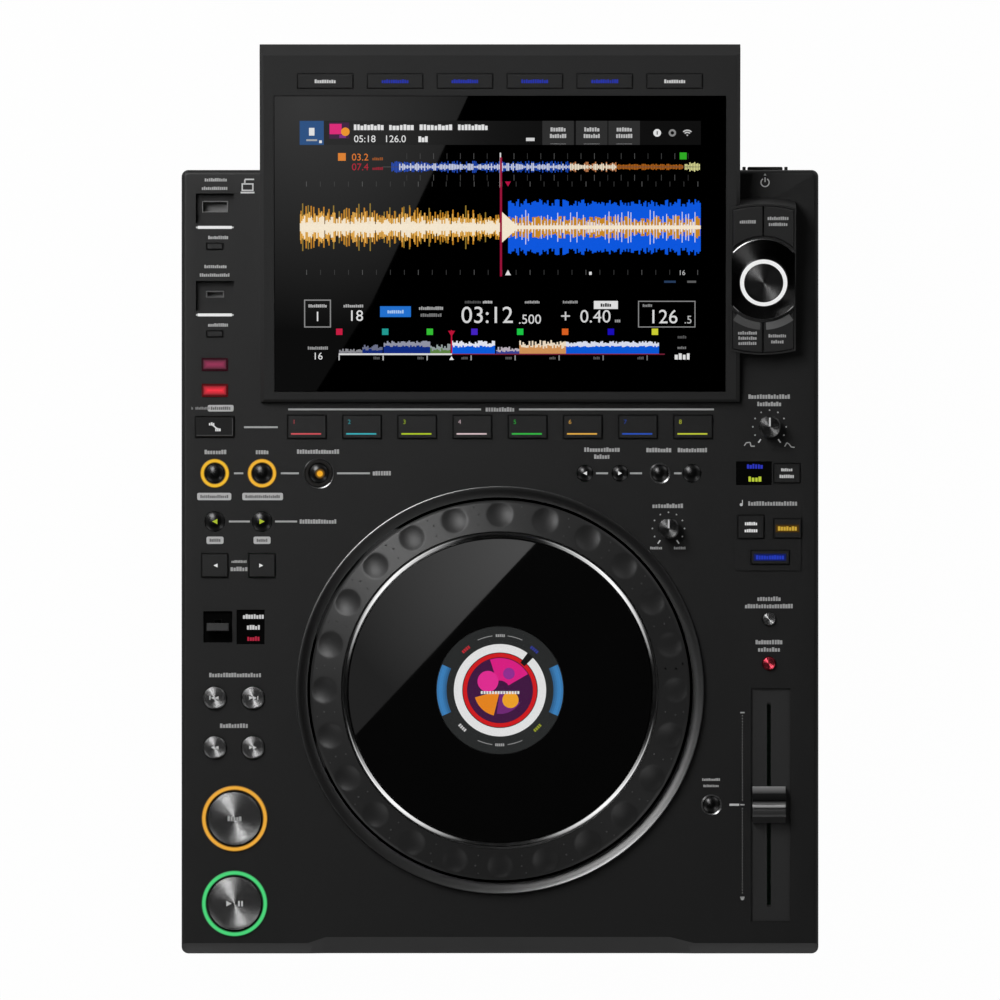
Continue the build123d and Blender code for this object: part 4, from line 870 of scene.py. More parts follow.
# Counters and the overview of the track.
picture.bar(-81.4, 45.2, 4.0, 4.0, shade((226, 130, 44)))
figures(picture, "03.2", -72.0, 44.9, 3.7, shade((226, 120, 40)))
blocks(picture, -63.0, 44.2, 5.6, 1.5, shade((150, 80, 30)))
figures(picture, "07.4", -72.0, 39.8, 3.7, shade((176, 26, 50)))
blocks(picture, -63.0, 39.2, 5.6, 1.5, shade((140, 22, 44)))
overview_line = 40.0
picture.bar(21.4, overview_line, 163.4, 0.4, screen_dim)
wave(-56.0, 36.0, overview_line, 2.2, 6.2, shade((32, 74, 178)), 11, 0.04)
wave(-52.0, 36.0, overview_line, 0.6, 4.2, shade((206, 214, 244)), 12, 0.08)
wave(36.0, 60.0, overview_line, 1.6, 5.4, shade((196, 128, 84)), 13, 0.04)
wave(36.0, 60.0, overview_line, 0.6, 3.6, cream, 14, 0.08)
wave(60.0, 95.0, overview_line, 1.6, 3.2, shade((176, 100, 34)), 15, 0.04)
wave(95.0, 103.4, overview_line, 1.6, 5.0, shade((222, 220, 150)), 16, 0.04)
for step in range(22):
    place = -48.0 + 6.9 * step
    for side in (-1, 1):
        picture.bar(place, overview_line + side * 5.6, 0.28, 3.0, shade(58 + 14 * (step % 3)))
picture.bar(94.3, 45.7, 3.6, 3.6, shade((54, 176, 44)))
picture.bar(0.2, 38.4, 0.7, 18.0, shade(225), 0.12, 0.18)

# The large waveform: amber before the marker, blue after it, cream at its heart.
wave_line, wave_reach = 8.6, 28.6
picture.slab([(2.6, 32.4), (4.1, 29.8), (5.6, 32.4)], shade((186, 24, 70)))
for row in (31.1, -14.9):
    for step in range(29):
        place = picture_left + 3.4 + 7.2 * step
        picture.bar(place, row, 0.3, 2.6, shade(62 + 30 * (step % 4 == 0)))
loudness = (1.0, 0.9, 0.96, 0.82, 0.92, 0.78, 0.84, 0.7)
stretch = (1.2 - picture_left) / len(loudness)
# Each layer: its share of the wave's reach, its least bar as a share of its tallest, the bars'
# pitch and width, the colour, the seed and the height over the glass.
for share, least, pitch, width, colour, seed, low in (
    (0.98, 0.4, 2.9, 0.6, shade((150, 122, 50)), 21, 0.02),
    (0.8, 0.42, 1.3, 0.7, shade((196, 132, 38)), 41, 0.05),
    (0.6, 0.44, 0.9, 0.66, shade((240, 180, 84)), 61, 0.08),
    (0.42, 0.3, 0.7, 0.66, cream, 81, 0.11),
):
    for number, loud in enumerate(loudness):
        start = picture_left + stretch * number
        end = start + stretch
        most = wave_reach * share * loud
        wave(start, end, wave_line, most * least, most, colour, seed + number, low, pitch, width)
picture.bar(-51.0, wave_line, 104.0, 3.2, cream, 0.12, 0.16)
beat_flare = [(1.0, -8.0), (8.6, -1.0), (8.6, 1.0), (1.0, 8.0)]
picture.slab([(x, wave_line + y) for x, y in beat_flare], cream, 0.12, 0.16)
wave(4.2, picture_right, wave_line, wave_reach * 0.74, wave_reach * 1.02, blue, 25, 0.02, 0.8, 0.82)
warm, pale_blue = shade((206, 140, 44)), shade((214, 218, 250))
wave(4.2, picture_right, wave_line, wave_reach * 0.16, wave_reach * 0.42, warm, 26, 0.08, 0.95, 1.0)
for start, seed in ((5.0, 27), (6.4, 29)):
    wave(start, picture_right, wave_line, 3.0, wave_reach * 0.66, pale_blue, seed, 0.11, 3.3, 0.45)
wave(4.6, picture_right, wave_line, 1.6, 6.0, cream, 30, 0.14, 1.6, 0.7)
picture.bar(54.0, wave_line, 98.8, 1.9, cream, 0.16, 0.2)
picture.bar(0.5, 14.0, 1.1, 62.0, shade((158, 26, 62)), 0.2, 0.26)
picture.slab([(2.6, -16.4), (5.6, -16.4), (4.1, -13.6)], screen_white)
picture.bar(46.6, -15.4, 1.3, 1.6, screen_white)
figures(picture, "16", 93.8, -15.2, 2.6, shade(190))
picture.bar(87.6, -19.8, 6.0, 1.1, shade((46, 66, 96)))
picture.bar(98.8, -19.8, 4.6, 1.1, shade(96))

# The row of figures.
picture.frame(-94.1, -36.4, 13.9, 14.6, 0.6, screen_grey)
blocks(picture, -94.1, -32.4, 9.6, 1.6, shade(180))
figures(picture, "1", -94.1, -38.2, 5.2, screen_white)
blocks(picture, -75.6, -32.4, 10.4, 1.6, shade(170))
figures(picture, "18", -74.4, -37.8, 5.8, screen_white)
picture.bar(-53.9, -35.4, 15.9, 5.6, shade((38, 116, 214)))
blocks(picture, -53.9, -35.4, 8.6, 1.8, shade((170, 204, 250)), 0.06)
blocks(picture, -35.6, -33.6, 12.6, 1.7, shade(168))
blocks(picture, -35.6, -37.2, 11.0, 1.7, shade(120))
blocks(picture, -14.0, -30.4, 8.6, 1.4, shade(84))
blocks(picture, -6.4, -30.4, 5.0, 1.4, shade(190))
figures(picture, "03:12", -6.6, -37.6, 8.9, shade(220))
figures(picture, ".500", 15.4, -39.6, 5.0, shade(220))
blocks(picture, 16.6, -30.4, 7.8, 1.4, shade(160))
blocks(picture, 36.2, -30.4, 7.8, 1.4, shade(150))
figures(picture, "+", 33.8, -38.2, 7.0, shade(205))
figures(picture, "0.40", 49.2, -38.2, 6.8, shade(220))
blocks(picture, 60.6, -40.2, 3.0, 1.6, shade(150))
picture.bar(54.6, -31.9, 12.4, 4.2, screen_white)
blocks(picture, 54.6, -31.9, 5.6, 1.9, shade(60), 0.06)
picture.frame(86.0, -36.7, 29.6, 13.9, 0.5, screen_grey)
blocks(picture, 76.0, -32.2, 5.0, 1.4, shade(140))
figures(picture, "126", 84.2, -38.4, 7.4, shade(225))
figures(picture, ".5", 97.0, -39.8, 4.2, shade(190))

# Cue marks over the strip of the whole track, as (x, colour).
cue_marks = (
    (-82.9, (206, 32, 70)), (-59.2, (38, 158, 150)), (-36.2, (58, 196, 58)), (-13.2, (72, 40, 200)),
    (10.4, (34, 204, 74)), (33.6, (226, 100, 40)), (57.2, (34, 22, 190)), (79.9, (212, 214, 56)),
)
for x, colour in cue_marks:
    picture.bar(x, -45.9, 3.3, 3.3, shade(colour))
picture.slab([(-26.8, -45.4), (-25.0, -48.4), (-23.2, -45.4)], shade((196, 26, 60)))
picture.bar(-25.0, -51.0, 0.7, 12.0, shade((196, 26, 60)), 0.14, 0.2)
track_line = -57.6
# Each stretch of the track: its ends, its least and tallest bar, its colour, its tips' colour and
# its seed.
for start, end, least, most, colour, cap, seed in (
    (-83, -71, 0.5, 1.2, (96, 96, 104), (140, 140, 146), 41),
    (-71, -60, 2.2, 3.4, (24, 46, 120), (112, 116, 140), 42),
    (-60, -36, 4.6, 5.4, (22, 48, 132), (150, 152, 170), 43),
    (-36, -25, 1.6, 3.8, (96, 132, 70), (150, 160, 160), 44),
    (-25, -2, 4.4, 5.4, (20, 96, 226), (236, 238, 250), 45),
    (-2, 10, 1.2, 2.4, (60, 70, 150), (190, 180, 190), 46),
    (10, 34, 3.4, 5.6, (214, 150, 92), (244, 226, 200), 47),
    (34, 82, 4.6, 5.2, (20, 92, 220), (224, 228, 246), 48),
):
    wave(
        start, end, track_line, least + 0.9, most + 1.7, shade(cap), seed, 0.02, 0.8, 0.82,
        standing=True
    )
    core = (least * 0.8, most * 0.86)
    wave(start, end, track_line, *core, shade(colour), seed + 20, 0.06, 0.8, 0.82, standing=True)
picture.bar(-54.0, track_line, 58.4, 0.9, shade(225), 0.1, 0.16)
picture.bar(30.0, track_line, 110.0, 0.6, shade((120, 40, 60)), 0.1, 0.14)
for step in range(8):
    place = -83.0 + 22.7 * step
    picture.bar(place, track_line - 1.9, 0.6, 2.6, shade(200 - 12 * step))
    if step:
        blocks(picture, place - 3.4, track_line - 2.0, 3.4, 1.4, shade(90))
picture.slab([(-26.2, -60.6), (-23.8, -60.6), (-25.0, -58.6)], screen_white)
blocks(picture, -94.0, -54.4, 10.6, 1.6, shade(150))
figures(picture, "16", -94.0, -58.8, 3.8, screen_white)
blocks(picture, 93.8, -48.6, 4.6, 1.6, shade(84))
blocks(picture, 93.8, -54.2, 4.6, 1.4, shade(120))
blocks(picture, 94.0, -58.8, 8.2, 3.2, screen_white)
picture.piece("display_picture", screen_glow, "console", slot="screen")

# ---- Keys ------------------------------------------------------------------------------------
# Moulded plastic caps with a soft bevel, each on a switch of the board below it. Pads and the
# small keys are satin, the call key glossy.
key_caps = satin("key_satin_black", 24, 32, 0.44, grain=0.3)
pads = [f"hot_cue_pad_{number}" for number in range(1, 9)]
screen_keys = [f"screen_key_{number}" for number in range(1, 7)]
island_keys = ["back_key", "tag_key", "filter_key", "shortcut_key"]
dress(
    key_caps, *pads,
    "beat_jump_rocker", "jog_mode_key", "power_button", "usb_stop_1", "usb_stop_2"
)
dress(housing_finish, *screen_keys, *island_keys)
dress(key_caps, "beat_sync_key", "master_key", "key_sync_key")
dress(glossy("key_gloss_black", 24, roughness=0.3), "call_delete_key")


def lamp_cap(name, colour, level):
    """A dark translucent cap that lets a little of its lamp through."""
    finish = Finish(name)
    cloud = finish.speckle(3 * mm, detail=2.0)
    lit = finish.blend(cloud * 0.5, shade(colour), shade([part * 0.55 for part in colour]))
    skin = finish.skin(shade(16), Roughness=0.3, Emission_Color=lit, Emission_Strength=level)
    return finish.done(skin)


dress(lamp_cap("quantize_red", (52, 12, 26), 1.0), "quantize_button")
dress(lamp_cap("slip_red", (92, 10, 18), 1.0), "slip_button")

# ---- Spun metal caps -------------------------------------------------------------------------
# Turned aluminium caps with fine concentric grooves, which fan the light out in two wedges. The
# single ones hang on a flange under the deck, and a pair sits on one bar that rocks.
left_column, second_column, third_column, right_column = -147.3, -122.9, -127.6, 138.9
transport_x = -137.1
cue_row, play_row, track_row, search_row = -164.5, -208.4, -102.2, -127.8
metal_knobs = {"vinyl_speed_knob": (139.2, 37.8), "jog_feel_knob": (87.0, -14.7)}


def spun(name, middles, dark, light, roughness=0.26, groove=0.5, tilt_back=0.0, depth=0.075):
    """Metal with concentric grooves round one middle, or round the nearer of two."""
    finish = Finish(name)
    across = finish.from_axis(middles[0], tilt_back)
    for middle in middles[1:]:
        other = finish.from_axis(middle, tilt_back)
        across = finish.node("ShaderNodeMath", {"operation": "MINIMUM"}, {0: across, 1: other})
    turns = across * (2 * pi / (groove * mm))
    wave_shape = finish.node("ShaderNodeMath", {"operation": "SINE"}, {0: turns})
    tone = finish.speckle(0.8 * mm, detail=4.0)
    colour = finish.blend(tone, shade(dark), shade(light))
    grooves = finish.bump(wave_shape * 0.5 + 0.5, 1.0, depth * mm)
    return finish.done(finish.skin(colour, Metallic=1.0, Roughness=roughness, Normal=grooves))


# Each cap, or pair of caps, has its middles and a radius.
metal_caps = {
    "cue_button": (((transport_x, cue_row),), 13.7),
    "play_button": (((transport_x, play_row),), 13.7),
    "track_search_rocker": (((left_column, track_row), (third_column, track_row)), 5.85),
    "search_rocker": (((left_column, search_row), (third_column, search_row)), 5.85),
    "tempo_range_button": (((right_column, -61.4),), 3.4),
    "master_tempo_button": (((right_column, -84.4),), 3.4),
}
flange_thickness, flange_reach = 1.2, 1.3
link_thickness, link_depth = 1.6, 8.0
cap_facets, crown_steps = 96, 12
black = (0, 0, 0)


def turned_cap(name, middles, radius, crown, power, material):
    """A round cap on its flange, or two on the bar that links them, with a crown that falls off."""
    form = Form()
    low, high = (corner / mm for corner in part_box(name))
    linked = len(middles) == 2
    base = low.z + link_thickness if linked else low.z
    for x, y in middles:
        profile = [(0, base), (radius, base)]
        if not linked:
            step_up, edge = base + flange_thickness, radius + flange_reach
            profile = [(0, base), (edge, base), (edge, step_up), (radius, step_up)]
        for step in range(crown_steps + 1):
            share = 1 - step / crown_steps
            profile.append((radius * share, high.z - crown * share**power))
        form.turn(profile, x, y, parts=cap_facets)
    if linked:
        form.bar(
            (low.x + high.x) / 2, middles[0][1], high.x - low.x, link_depth, black, low.z, base
        )
    form.piece(f"{name}_cap", material, f"{name}_body", [name])


metal_crown, metal_power = 0.35, 24.0  # a flat face with a small rounding at its edge
for name, (middles, radius) in metal_caps.items():
    tone = ((196, 60, 76), (214, 80, 94)) if name == "master_tempo_button" else (124, 146)
    metal = spun(f"spun_{name}", [(x, y, 0) for x, y in middles], *tone)
    turned_cap(name, middles, radius, metal_crown, metal_power, metal)
for name, (x, y) in metal_knobs.items():
    dress(spun(f"spun_{name}", [(x, y, 0)], 74, 90), name)

# ---- Domed caps ------------------------------------------------------------------------------
# Small round buttons moulded in black plastic, with a crowned, glossy face. A single one has a
# flange that catches under the deck, and a pair has a bar.
loop_row, beat_row, slider_row = 13.8, -11.1, -157.4
reloop_x, delete_x, reset_x = -93.6, 82.6, 109.2
call_columns = (43.9, 62.0)
dome_black = glossy("dome_gloss_black", 16, roughness=0.24)
domed_caps = {
    "loop_in_button": (((left_column, loop_row),), 4.75),
    "loop_out_button": (((second_column, loop_row),), 4.75),
    "reloop_button": (((reloop_x, loop_row),), 4.9),
    "delete_button": (((delete_x, loop_row),), 4.2),
    "memory_button": (((99.2, loop_row),), 4.6),
    "tempo_reset_button": (((reset_x, slider_row),), 4.2),
    "beat_loop_rocker": (((left_column, beat_row), (second_column, beat_row)), 5.1),
    "cue_call_rocker": (tuple((x, loop_row) for x in call_columns), 4.1),
}
dome_crown, dome_power = 1.5, 2.2
for name, (middles, radius) in domed_caps.items():
    turned_cap(name, middles, radius, dome_crown, dome_power, dome_black)

# Bevelled collars, let into the deck round three of them.
collar_width, collar_low, collar_inside, collar_outside = 0.9, 83.9, 84.05, 84.45
collars = Form()
for x, y, inner in (
    (delete_x, loop_row, 4.5), (reset_x, slider_row, 4.5), (reloop_x, loop_row, 7.1),
):
    outer = inner + collar_width
    section = [
        (inner, collar_low), (outer, collar_low), (outer, collar_outside), (inner, collar_inside),
    ]
    collars.turn(section, x, y, closed=True)
collar_metal = glossy("collar_metal", 120, roughness=0.25, Metallic=1.0)
collars.piece("deck_collars", collar_metal, "console", slot="metal")

# ---- Light rings -----------------------------------------------------------------------------
# Rings of translucent plastic on the deck, round five of its buttons, lit from below. The
# reloop ring is off.
ring_glow = glowing("ring_glow", roughness=0.35)
# Each ring has a middle, an inner and an outer radius, the height of its top, and a colour.
deck_rings = {
    "cue_light_ring": (transport_x, cue_row, 14.7, 17.0, 85.2, (244, 174, 62)),
    "play_light_ring": (transport_x, play_row, 14.7, 17.0, 85.2, (78, 220, 126)),
    "loop_in_light_ring": (left_column, loop_row, 5.4, 7.5, 84.8, (250, 190, 44)),
    "loop_out_light_ring": (second_column, loop_row, 5.4, 7.5, 84.8, (250, 184, 50)),
    "reloop_light_ring": (reloop_x, loop_row, 5.3, 7.0, 84.8, (22, 20, 18)),
}
ring_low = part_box("light_rings")[0].z / mm
ring_bevel_share, ring_bevel_drop, ring_edge_level, ring_facets = 0.18, 0.3, 0.62, 96
for number, (name, (x, y, inner, outer, top, colour)) in enumerate(deck_rings.items()):
    ring = Form()
    edge_colour = shade([part * ring_edge_level for part in colour])
    bevel = ring_bevel_share * (outer - inner)
    side = top - ring_bevel_drop
    sides = [(inner, side), (inner, ring_low), (outer, ring_low), (outer, side)]
    ring.turn(sides, x, y, ring_facets, colour=edge_colour)
    for strip, strip_colour in (
        ([(outer, side), (outer - bevel, top)], edge_colour),
        ([(outer - bevel, top), (inner + bevel, top)], shade(colour)),
        ([(inner + bevel, top), (inner, side)], edge_colour),
    ):
        ring.turn(strip, x, y, ring_facets, colour=strip_colour)
    bmesh.ops.remove_doubles(ring.mesh, verts=ring.mesh.verts[:], dist=0.001 * mm)
    stands_for = ["light_rings"] if number == 0 else []
    ring.piece(name, ring_glow, "console", stands_for, slot=None if stands_for else "light")

# ---- Knobs -----------------------------------------------------------------------------------
# Two small spun metal knobs on the shafts of their potentiometers. Each has a white pointer let
# into its top, in the same ink as the printing on the deck.
# The ink's grain and wear are its own; its faint emission is a painted glow, so the printing looks
# brighter than the lamps make it.
ink_and_glow_finish = Finish("print_ink")
ink_colour = ink_and_glow_finish.node("ShaderNodeAttribute", {"attribute_name": "tint"})
ink_grain = ink_and_glow_finish.speckle(0.25 * mm, detail=2.0)
worn = ink_and_glow_finish.blend(ink_grain * 0.18, ink_colour, (0, 0, 0))
ink_painted_glow = ink_and_glow_finish.blend(ink_grain * 0.2, ink_colour, (0, 0, 0))
print_ink = ink_and_glow_finish.done(
    ink_and_glow_finish.skin(worn, Roughness=0.5, Emission_Color=ink_painted_glow, Emission_Strength=0.16)
)
pointer_white = shade(235)
pointer_width, pointer_length, pointer_middle = 0.9, 4.5, 2.4
pointer_low, pointer_high = -0.65, -0.02  # from the knob's top
for name, (x, y) in metal_knobs.items():
    pointer = Form()
    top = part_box(name)[1].z / mm
    place = (x, y + pointer_middle, pointer_width, pointer_length)
    pointer.bar(*place, pointer_white, top + pointer_low, top + pointer_high)
    pointer.piece(f"{name}_pointer", print_ink, f"{name}_body", slot="metal")

# ---- Selector --------------------------------------------------------------------------------
# A broad turned knob on the island, in a glossy black dish, with a lit white ring round its top.
# It turns on the shaft of its encoder.
island_x, island_line = 135.7, 64.1
selector_spot = on_slope(island_x, island_line)
selector_middle = selector_spot.translation / mm
island_rise, well_depth, well_gap, selector_height = 1.2, 0.8, 0.25, 13.0
selector_top = island_rise - well_depth + well_gap + selector_height
dress(
    spun("spun_selector", [selector_middle], 70, 96, tilt_back=tilt, roughness=0.24),
    "selector_knob"
)
halo = Form(selector_spot)
halo_section = [
    (10.1, -0.25), (11.3, -0.2), (12.0, -0.9), (12.15, -0.7), (11.4, 0.08), (10.1, 0.08),
]
halo_profile = [(radius, selector_top + rise) for radius, rise in halo_section]
halo.turn(halo_profile, parts=96, closed=True, colour=shade(246))
halo.piece("selector_light_ring", ring_glow, "selector_knob_body", slot="light")

# The dish is a thin round plate, cut off straight at the island's sides.
dish = Form(selector_spot)
dish_radius, dish_bore, dish_half_width, dish_low, dish_high = 21.3, 3.6, 16.3, 0.42, 0.6
dish_section = [(dish_bore, dish_low), (dish_radius, dish_low)]
dish_section += [(dish_radius, dish_high), (dish_bore, dish_high)]
dish_parts = 120
dish_rings = []
for radius, height in dish_section:
    dish_rings.append([])
    for step in range(dish_parts):
        angle = 2 * pi * step / dish_parts
        held = min(radius, dish_half_width / max(abs(cos(angle)), 0.01))
        dish_rings[-1].append(dish.point(held * cos(angle), held * sin(angle), height))
for first, second in zip(dish_rings, dish_rings[1:] + dish_rings[:1]):
    for step in range(dish_parts):
        after = (step + 1) % dish_parts
        dish.face([first[step], first[after], second[after], second[step]])
dish_finish = spun(
    "dish_gloss", [selector_middle], 62, 76, tilt_back=tilt, roughness=0.16, groove=0.6, depth=0.06
)
dish.piece("selector_dish", dish_finish, "console", slot="gloss")

# A thin metal lip round the dish, open where the island's sides cut it.
lip = Form(selector_spot)
lip_inner, lip_side = 20.7, 0.9
lip_section = [(lip_inner, dish_high), (dish_radius, dish_high)]
lip_section += [(dish_radius, lip_side), (lip_inner, island_rise)]
lip_starts, lip_steps, lip_turn = (42, 222), 24, 4
for start in lip_starts:
    hoops = []
    for step in range(lip_steps + 1):
        turn = radians(start + lip_turn * step)
        spots = [(radius * cos(turn), radius * sin(turn), height) for radius, height in lip_section]
        hoops.append([lip.point(*spot) for spot in spots])
    for hoop, after in zip(hoops, hoops[1:]):
        for side in range(len(lip_section)):
            other = (side + 1) % len(lip_section)
            lip.face([after[side], after[other], hoop[other], hoop[side]])
    lip.face(hoops[0])
    lip.face(hoops[-1][::-1])
lip_metal = glossy("lip_metal", 150, roughness=0.25, Metallic=1.0)
lip.piece("selector_lip", lip_metal, "console", slot="metal")

# ---- Tempo slider ----------------------------------------------------------------------------
# A moulded cap with grip grooves across its crown, on a fader under the deck. Its recess has a
# paler floor, in two strips beside the slot and two short ones at its ends.
recess_length, slot_width, slot_end, slot_end_length = 120.0, 2.0, 56.4, 7.2
recess_film = (-1.49, -1.45)  # the floor of a deep recess, below the deck
floor_strips = ((129.75, 137.9), (139.9, 149.85))
slider_floor = Form(Matrix.Translation((0, 0, deck_height * mm)))
for left, right in floor_strips:
    slider_floor.bar(
        (left + right) / 2, slider_row, right - left, recess_length, black, *recess_film
    )
for side in (-1, 1):
    place = (right_column, slider_row + side * slot_end, slot_width, slot_end_length)
    slider_floor.bar(*place, black, *recess_film)
slider_floor_satin = satin("slider_floor_satin", 46, 56, 0.44)
slider_floor.piece("slider_recess_floor", slider_floor_satin, "console", slot="deck")

# Painted highlights and shade run along the cap, for how its grooved crown takes the light: pale at
# both ends and on its middle groove, dark between.
slider_cap_length = 19.0
slider_finish = Finish("slider_cap_satin")
along = slider_finish.part("Y") * (1 / mm) - slider_row
painted_light_band = slider_finish.node(
    "ShaderNodeValToRGB",
    {"stops": (
        (0.0, shade(80)), (0.2, shade(70)), (0.25, shade(5)), (0.32, shade(40)), (0.42, shade(100)),
        (0.48, shade(250)), (0.54, shade(120)), (0.6, shade(5)), (0.8, shade(24)),
        (1.0, shade(200)),
    )},
    {0: along / slider_cap_length + 0.5},
)
slider_grain = slider_finish.speckle(0.4 * mm, detail=2.0)
slider_painted_light = slider_finish.blend(slider_grain * 0.2, painted_light_band, shade(8))
slider_bump = slider_finish.bump(slider_grain, 0.3, 0.02 * mm)
slider_skin = slider_finish.skin(slider_painted_light, Roughness=0.38, Normal=slider_bump)
dress(slider_finish.done(slider_skin), "tempo_slider_cap")

# ---- Direction lever -------------------------------------------------------------------------
# A short lever moulded in grey plastic. It tips forward and back on a pin under the deck, in its
# recess beside a black window.
dress(satin("lever_grey", 60, 74, 0.4), "direction_lever")

# ---- Sockets ---------------------------------------------------------------------------------
# Plated steel shells for the USB ports and the data sockets, black plastic for the mains inlet.
# They are held in holes in the bays' floors and in the rear wall.
inlet_side, inlet_top = 78.0, 78.0  # the inlet lies right of this and below this
socket_finish = Finish("socket_shells")
height = socket_finish.part("Z")
across = socket_finish.part("X")
plastic = (across > inlet_side * mm) * (height < inlet_top * mm)
brushed = socket_finish.speckle(0.5 * mm, detail=3.0, stretch=(1, 6, 1))
socket_colour = socket_finish.blend(
    plastic, socket_finish.blend(brushed, shade(120), shade(150)), shade(16)
)
socket_skin = socket_finish.skin(socket_colour, Metallic=1 - plastic, Roughness=brushed * 0.1 + 0.3)
dress(socket_finish.done(socket_skin), "io_sockets")

# ---- Printing on the deck --------------------------------------------------------------------
# Pale ink, screen-printed on the deck's paint: rules, symbols and boxed labels. The ink carries a
# faint painted glow. Words are left as rows of small blocks.
ink_white, ink_pale, ink_dull = shade(225), shade(186), shade(140)
label_height = 2.25
print_height = deck_height + 0.01
prints = Form(Matrix.Translation((0, 0, print_height * mm)))


def label(x, y, width, height=label_height, colour=ink_pale):
    """A printed word, left as blocks."""
    blocks(prints, x, y, width, height, colour)


def boxed(x, y, width, depth=3.8):
    """A pale rounded box with a word in it, left dark."""
    corner = 0.9
    outline = []
    for side_x, side_y, start in ((1, -1, -90), (1, 1, 0), (-1, 1, 90), (-1, -1, 180)):
        middle = (x + side_x * (width / 2 - corner), y + side_y * (depth / 2 - corner))
        for step in range(5):
            angle = radians(start + 22.5 * step)
            outline.append((middle[0] + corner * cos(angle), middle[1] + corner * sin(angle)))
    prints.slab(outline, shade(206))
    blocks(prints, x, y, width - 3.0, 1.6, shade(116), Form.ink)


# Labels over the USB bays and by the keys below them, as (x, y, width).
bay_labels = (
    (-146.8, 165.4, 11.6), (-147.4, 161.0, 13.4), (-147.0, 120.6, 11.6), (-147.4, 116.2, 15.6),
    (-145.6, 135.6, 10.4), (-145.6, 90.4, 10.4),
)
for x, y, width in bay_labels:
    label(x, y, width, 1.7, ink_pale)
for x, y, width in ((-153.6, 47.4, 7.6), (-159.0, 47.4, 0.9)):
    label(x, y, width, 1.4, ink_dull)
boxed(-144.3, 47.4, 13.4, 3.4)
padlock_x, padlock_y = -130.4, 162.0
prints.frame(padlock_x, padlock_y - 0.4, 6.2, 4.0, 0.7, ink_white)
prints.bar(padlock_x, padlock_y - 3.2, 7.2, 0.9, ink_white)
prints.bar(padlock_x - 1.4, padlock_y + 2.6, 0.8, 1.8, ink_white)
prints.bar(padlock_x + 1.0, padlock_y + 3.6, 4.8, 0.8, ink_white)

# Rules between the buttons of a row, as (start, end, y), and labels as (x, y, width).
rules = (
    (-132.2, -114.8, 37.6), (-137.4, -132.6, loop_row), (-113.2, -103.9, loop_row),
    (-84.2, -67.2, loop_row), (-140.0, -129.2, beat_row), (-116.2, -104.8, beat_row),
    (49.6, 55.8, loop_row), (67.1, 73.3, loop_row), (89.9, 93.8, loop_row),
    (-109.4, -9.8, 46.8), (9.8, 110.5, 46.8),
)
rule_width = 0.95
for start, end, y in rules:
    prints.bar((start + end) / 2, y, end - start, rule_width, ink_pale)
labels = (
    (0.0, 46.8, 15.0), (-147.0, 24.8, 11.4), (second_column, 24.8, 6.8), (-94.0, 25.0, 22.0),
    (-61.0, loop_row, 9.6), (52.6, 26.0, 18.6), (52.6, 22.4, 8.2), (82.0, 25.8, 13.0),
    (99.4, 25.8, 15.4), (-94.0, beat_row, 19.2), (-134.8, -31.8, 8.0), (-134.8, -35.6, 9.0),
    (-136.8, -90.4, 27.0), (-137.4, -116.6, 14.6), (86.6, -3.0, 16.0), (80.6, -24.8, 6.2),
    (92.8, -24.8, 6.2), (139.0, 53.4, 21.6), (139.0, 49.6, 12.6), (140.8, -1.8, 25.6),
    (right_column, -51.0, 12.2), (right_column, -54.8, 25.0), (right_column, -73.4, 14.0),
    (right_column, -77.2, 11.6), (109.0, -144.4, 9.4), (109.0, -147.6, 8.0),
)
small_widths, small_height = (6.2, 8.0, 9.4), 1.35
for x, y, width in labels:
    label(x, y, width, small_height if width in small_widths else label_height)
boxed(-147.6, 1.8, 17.6)
boxed(-122.6, 1.8, 21.0)
boxed(-147.2, -20.8, 8.8)
boxed(-122.9, -20.8, 8.8)
note_x, note_y = 124.6, -1.8
prints.disc(note_x, note_y - 0.6, 0.8, ink_white)
prints.bar(note_x + 0.6, note_y + 0.6, 0.4, 2.4, ink_white)

# Ticks at the ends of the knobs' scales, two small curves under the speed knob, and the marks
# beside the slider.
def stroke(first, last, width, colour):
    """A straight line of ink between two spots."""
    across = (last - first).orthogonal().normalized() * width / 2
    outline = (first - across, last - across, last + across, first + across)
    prints.slab([tuple(spot) for spot in outline], colour)


tick_turn, tick_length, tick_width, curve_width = 35, 2.2, 0.7, 0.56
for knob, reach in (("jog_feel_knob", 7.4), ("vinyl_speed_knob", 7.8)):
    for side in (-1, 1):
        angle = radians(-90 + side * tick_turn)
        outward = Vector((cos(angle), sin(angle)))
        middle = Vector(metal_knobs[knob])
        spots = [middle + outward * (reach + further) for further in (0, tick_length)]
        stroke(*spots, tick_width, ink_white)
curve_starts = {
    (126.2, 28.0): ((0, 0), (1.0, 1.6), (3.0, 1.8), (3.4, -0.2), (5.4, -0.2)),
    (147.0, 28.0): ((0, -0.4), (1.2, 1.6), (2.4, 0.8), (3.4, -0.6), (5.2, -0.8)),
}
for start, bends in curve_starts.items():
    spots = [Vector(start) + Vector(bend) for bend in bends]
    for first, last in zip(spots, spots[1:]):
        stroke(first, last, curve_width, ink_pale)
scale_x = 125.2
prints.bar(121.0, slider_row, 5.0, 1.1, ink_white)
for y in (-109.8, slider_row, -205.2):
    prints.bar(scale_x, y, 2.2, 0.7, ink_pale)
prints.disc(scale_x, -205.8, 0.9, ink_pale)

# The power symbol over its button, and the small mark above it.
power_x, power_y = 136.9, 165.0
prints.arc(power_x, power_y - 1.0, 1.8, 2.4, 120, 300, ink_white)
prints.bar(power_x, power_y + 0.4, 0.6, 2.4, ink_white)
power_mark = [(-0.7, 2.6), (0.7, 2.6), (0.0, 3.8)]
prints.slab([(power_x + x, power_y + y) for x, y in power_mark], ink_pale)
prints.piece("deck_printing", print_ink, "console", slot="light")

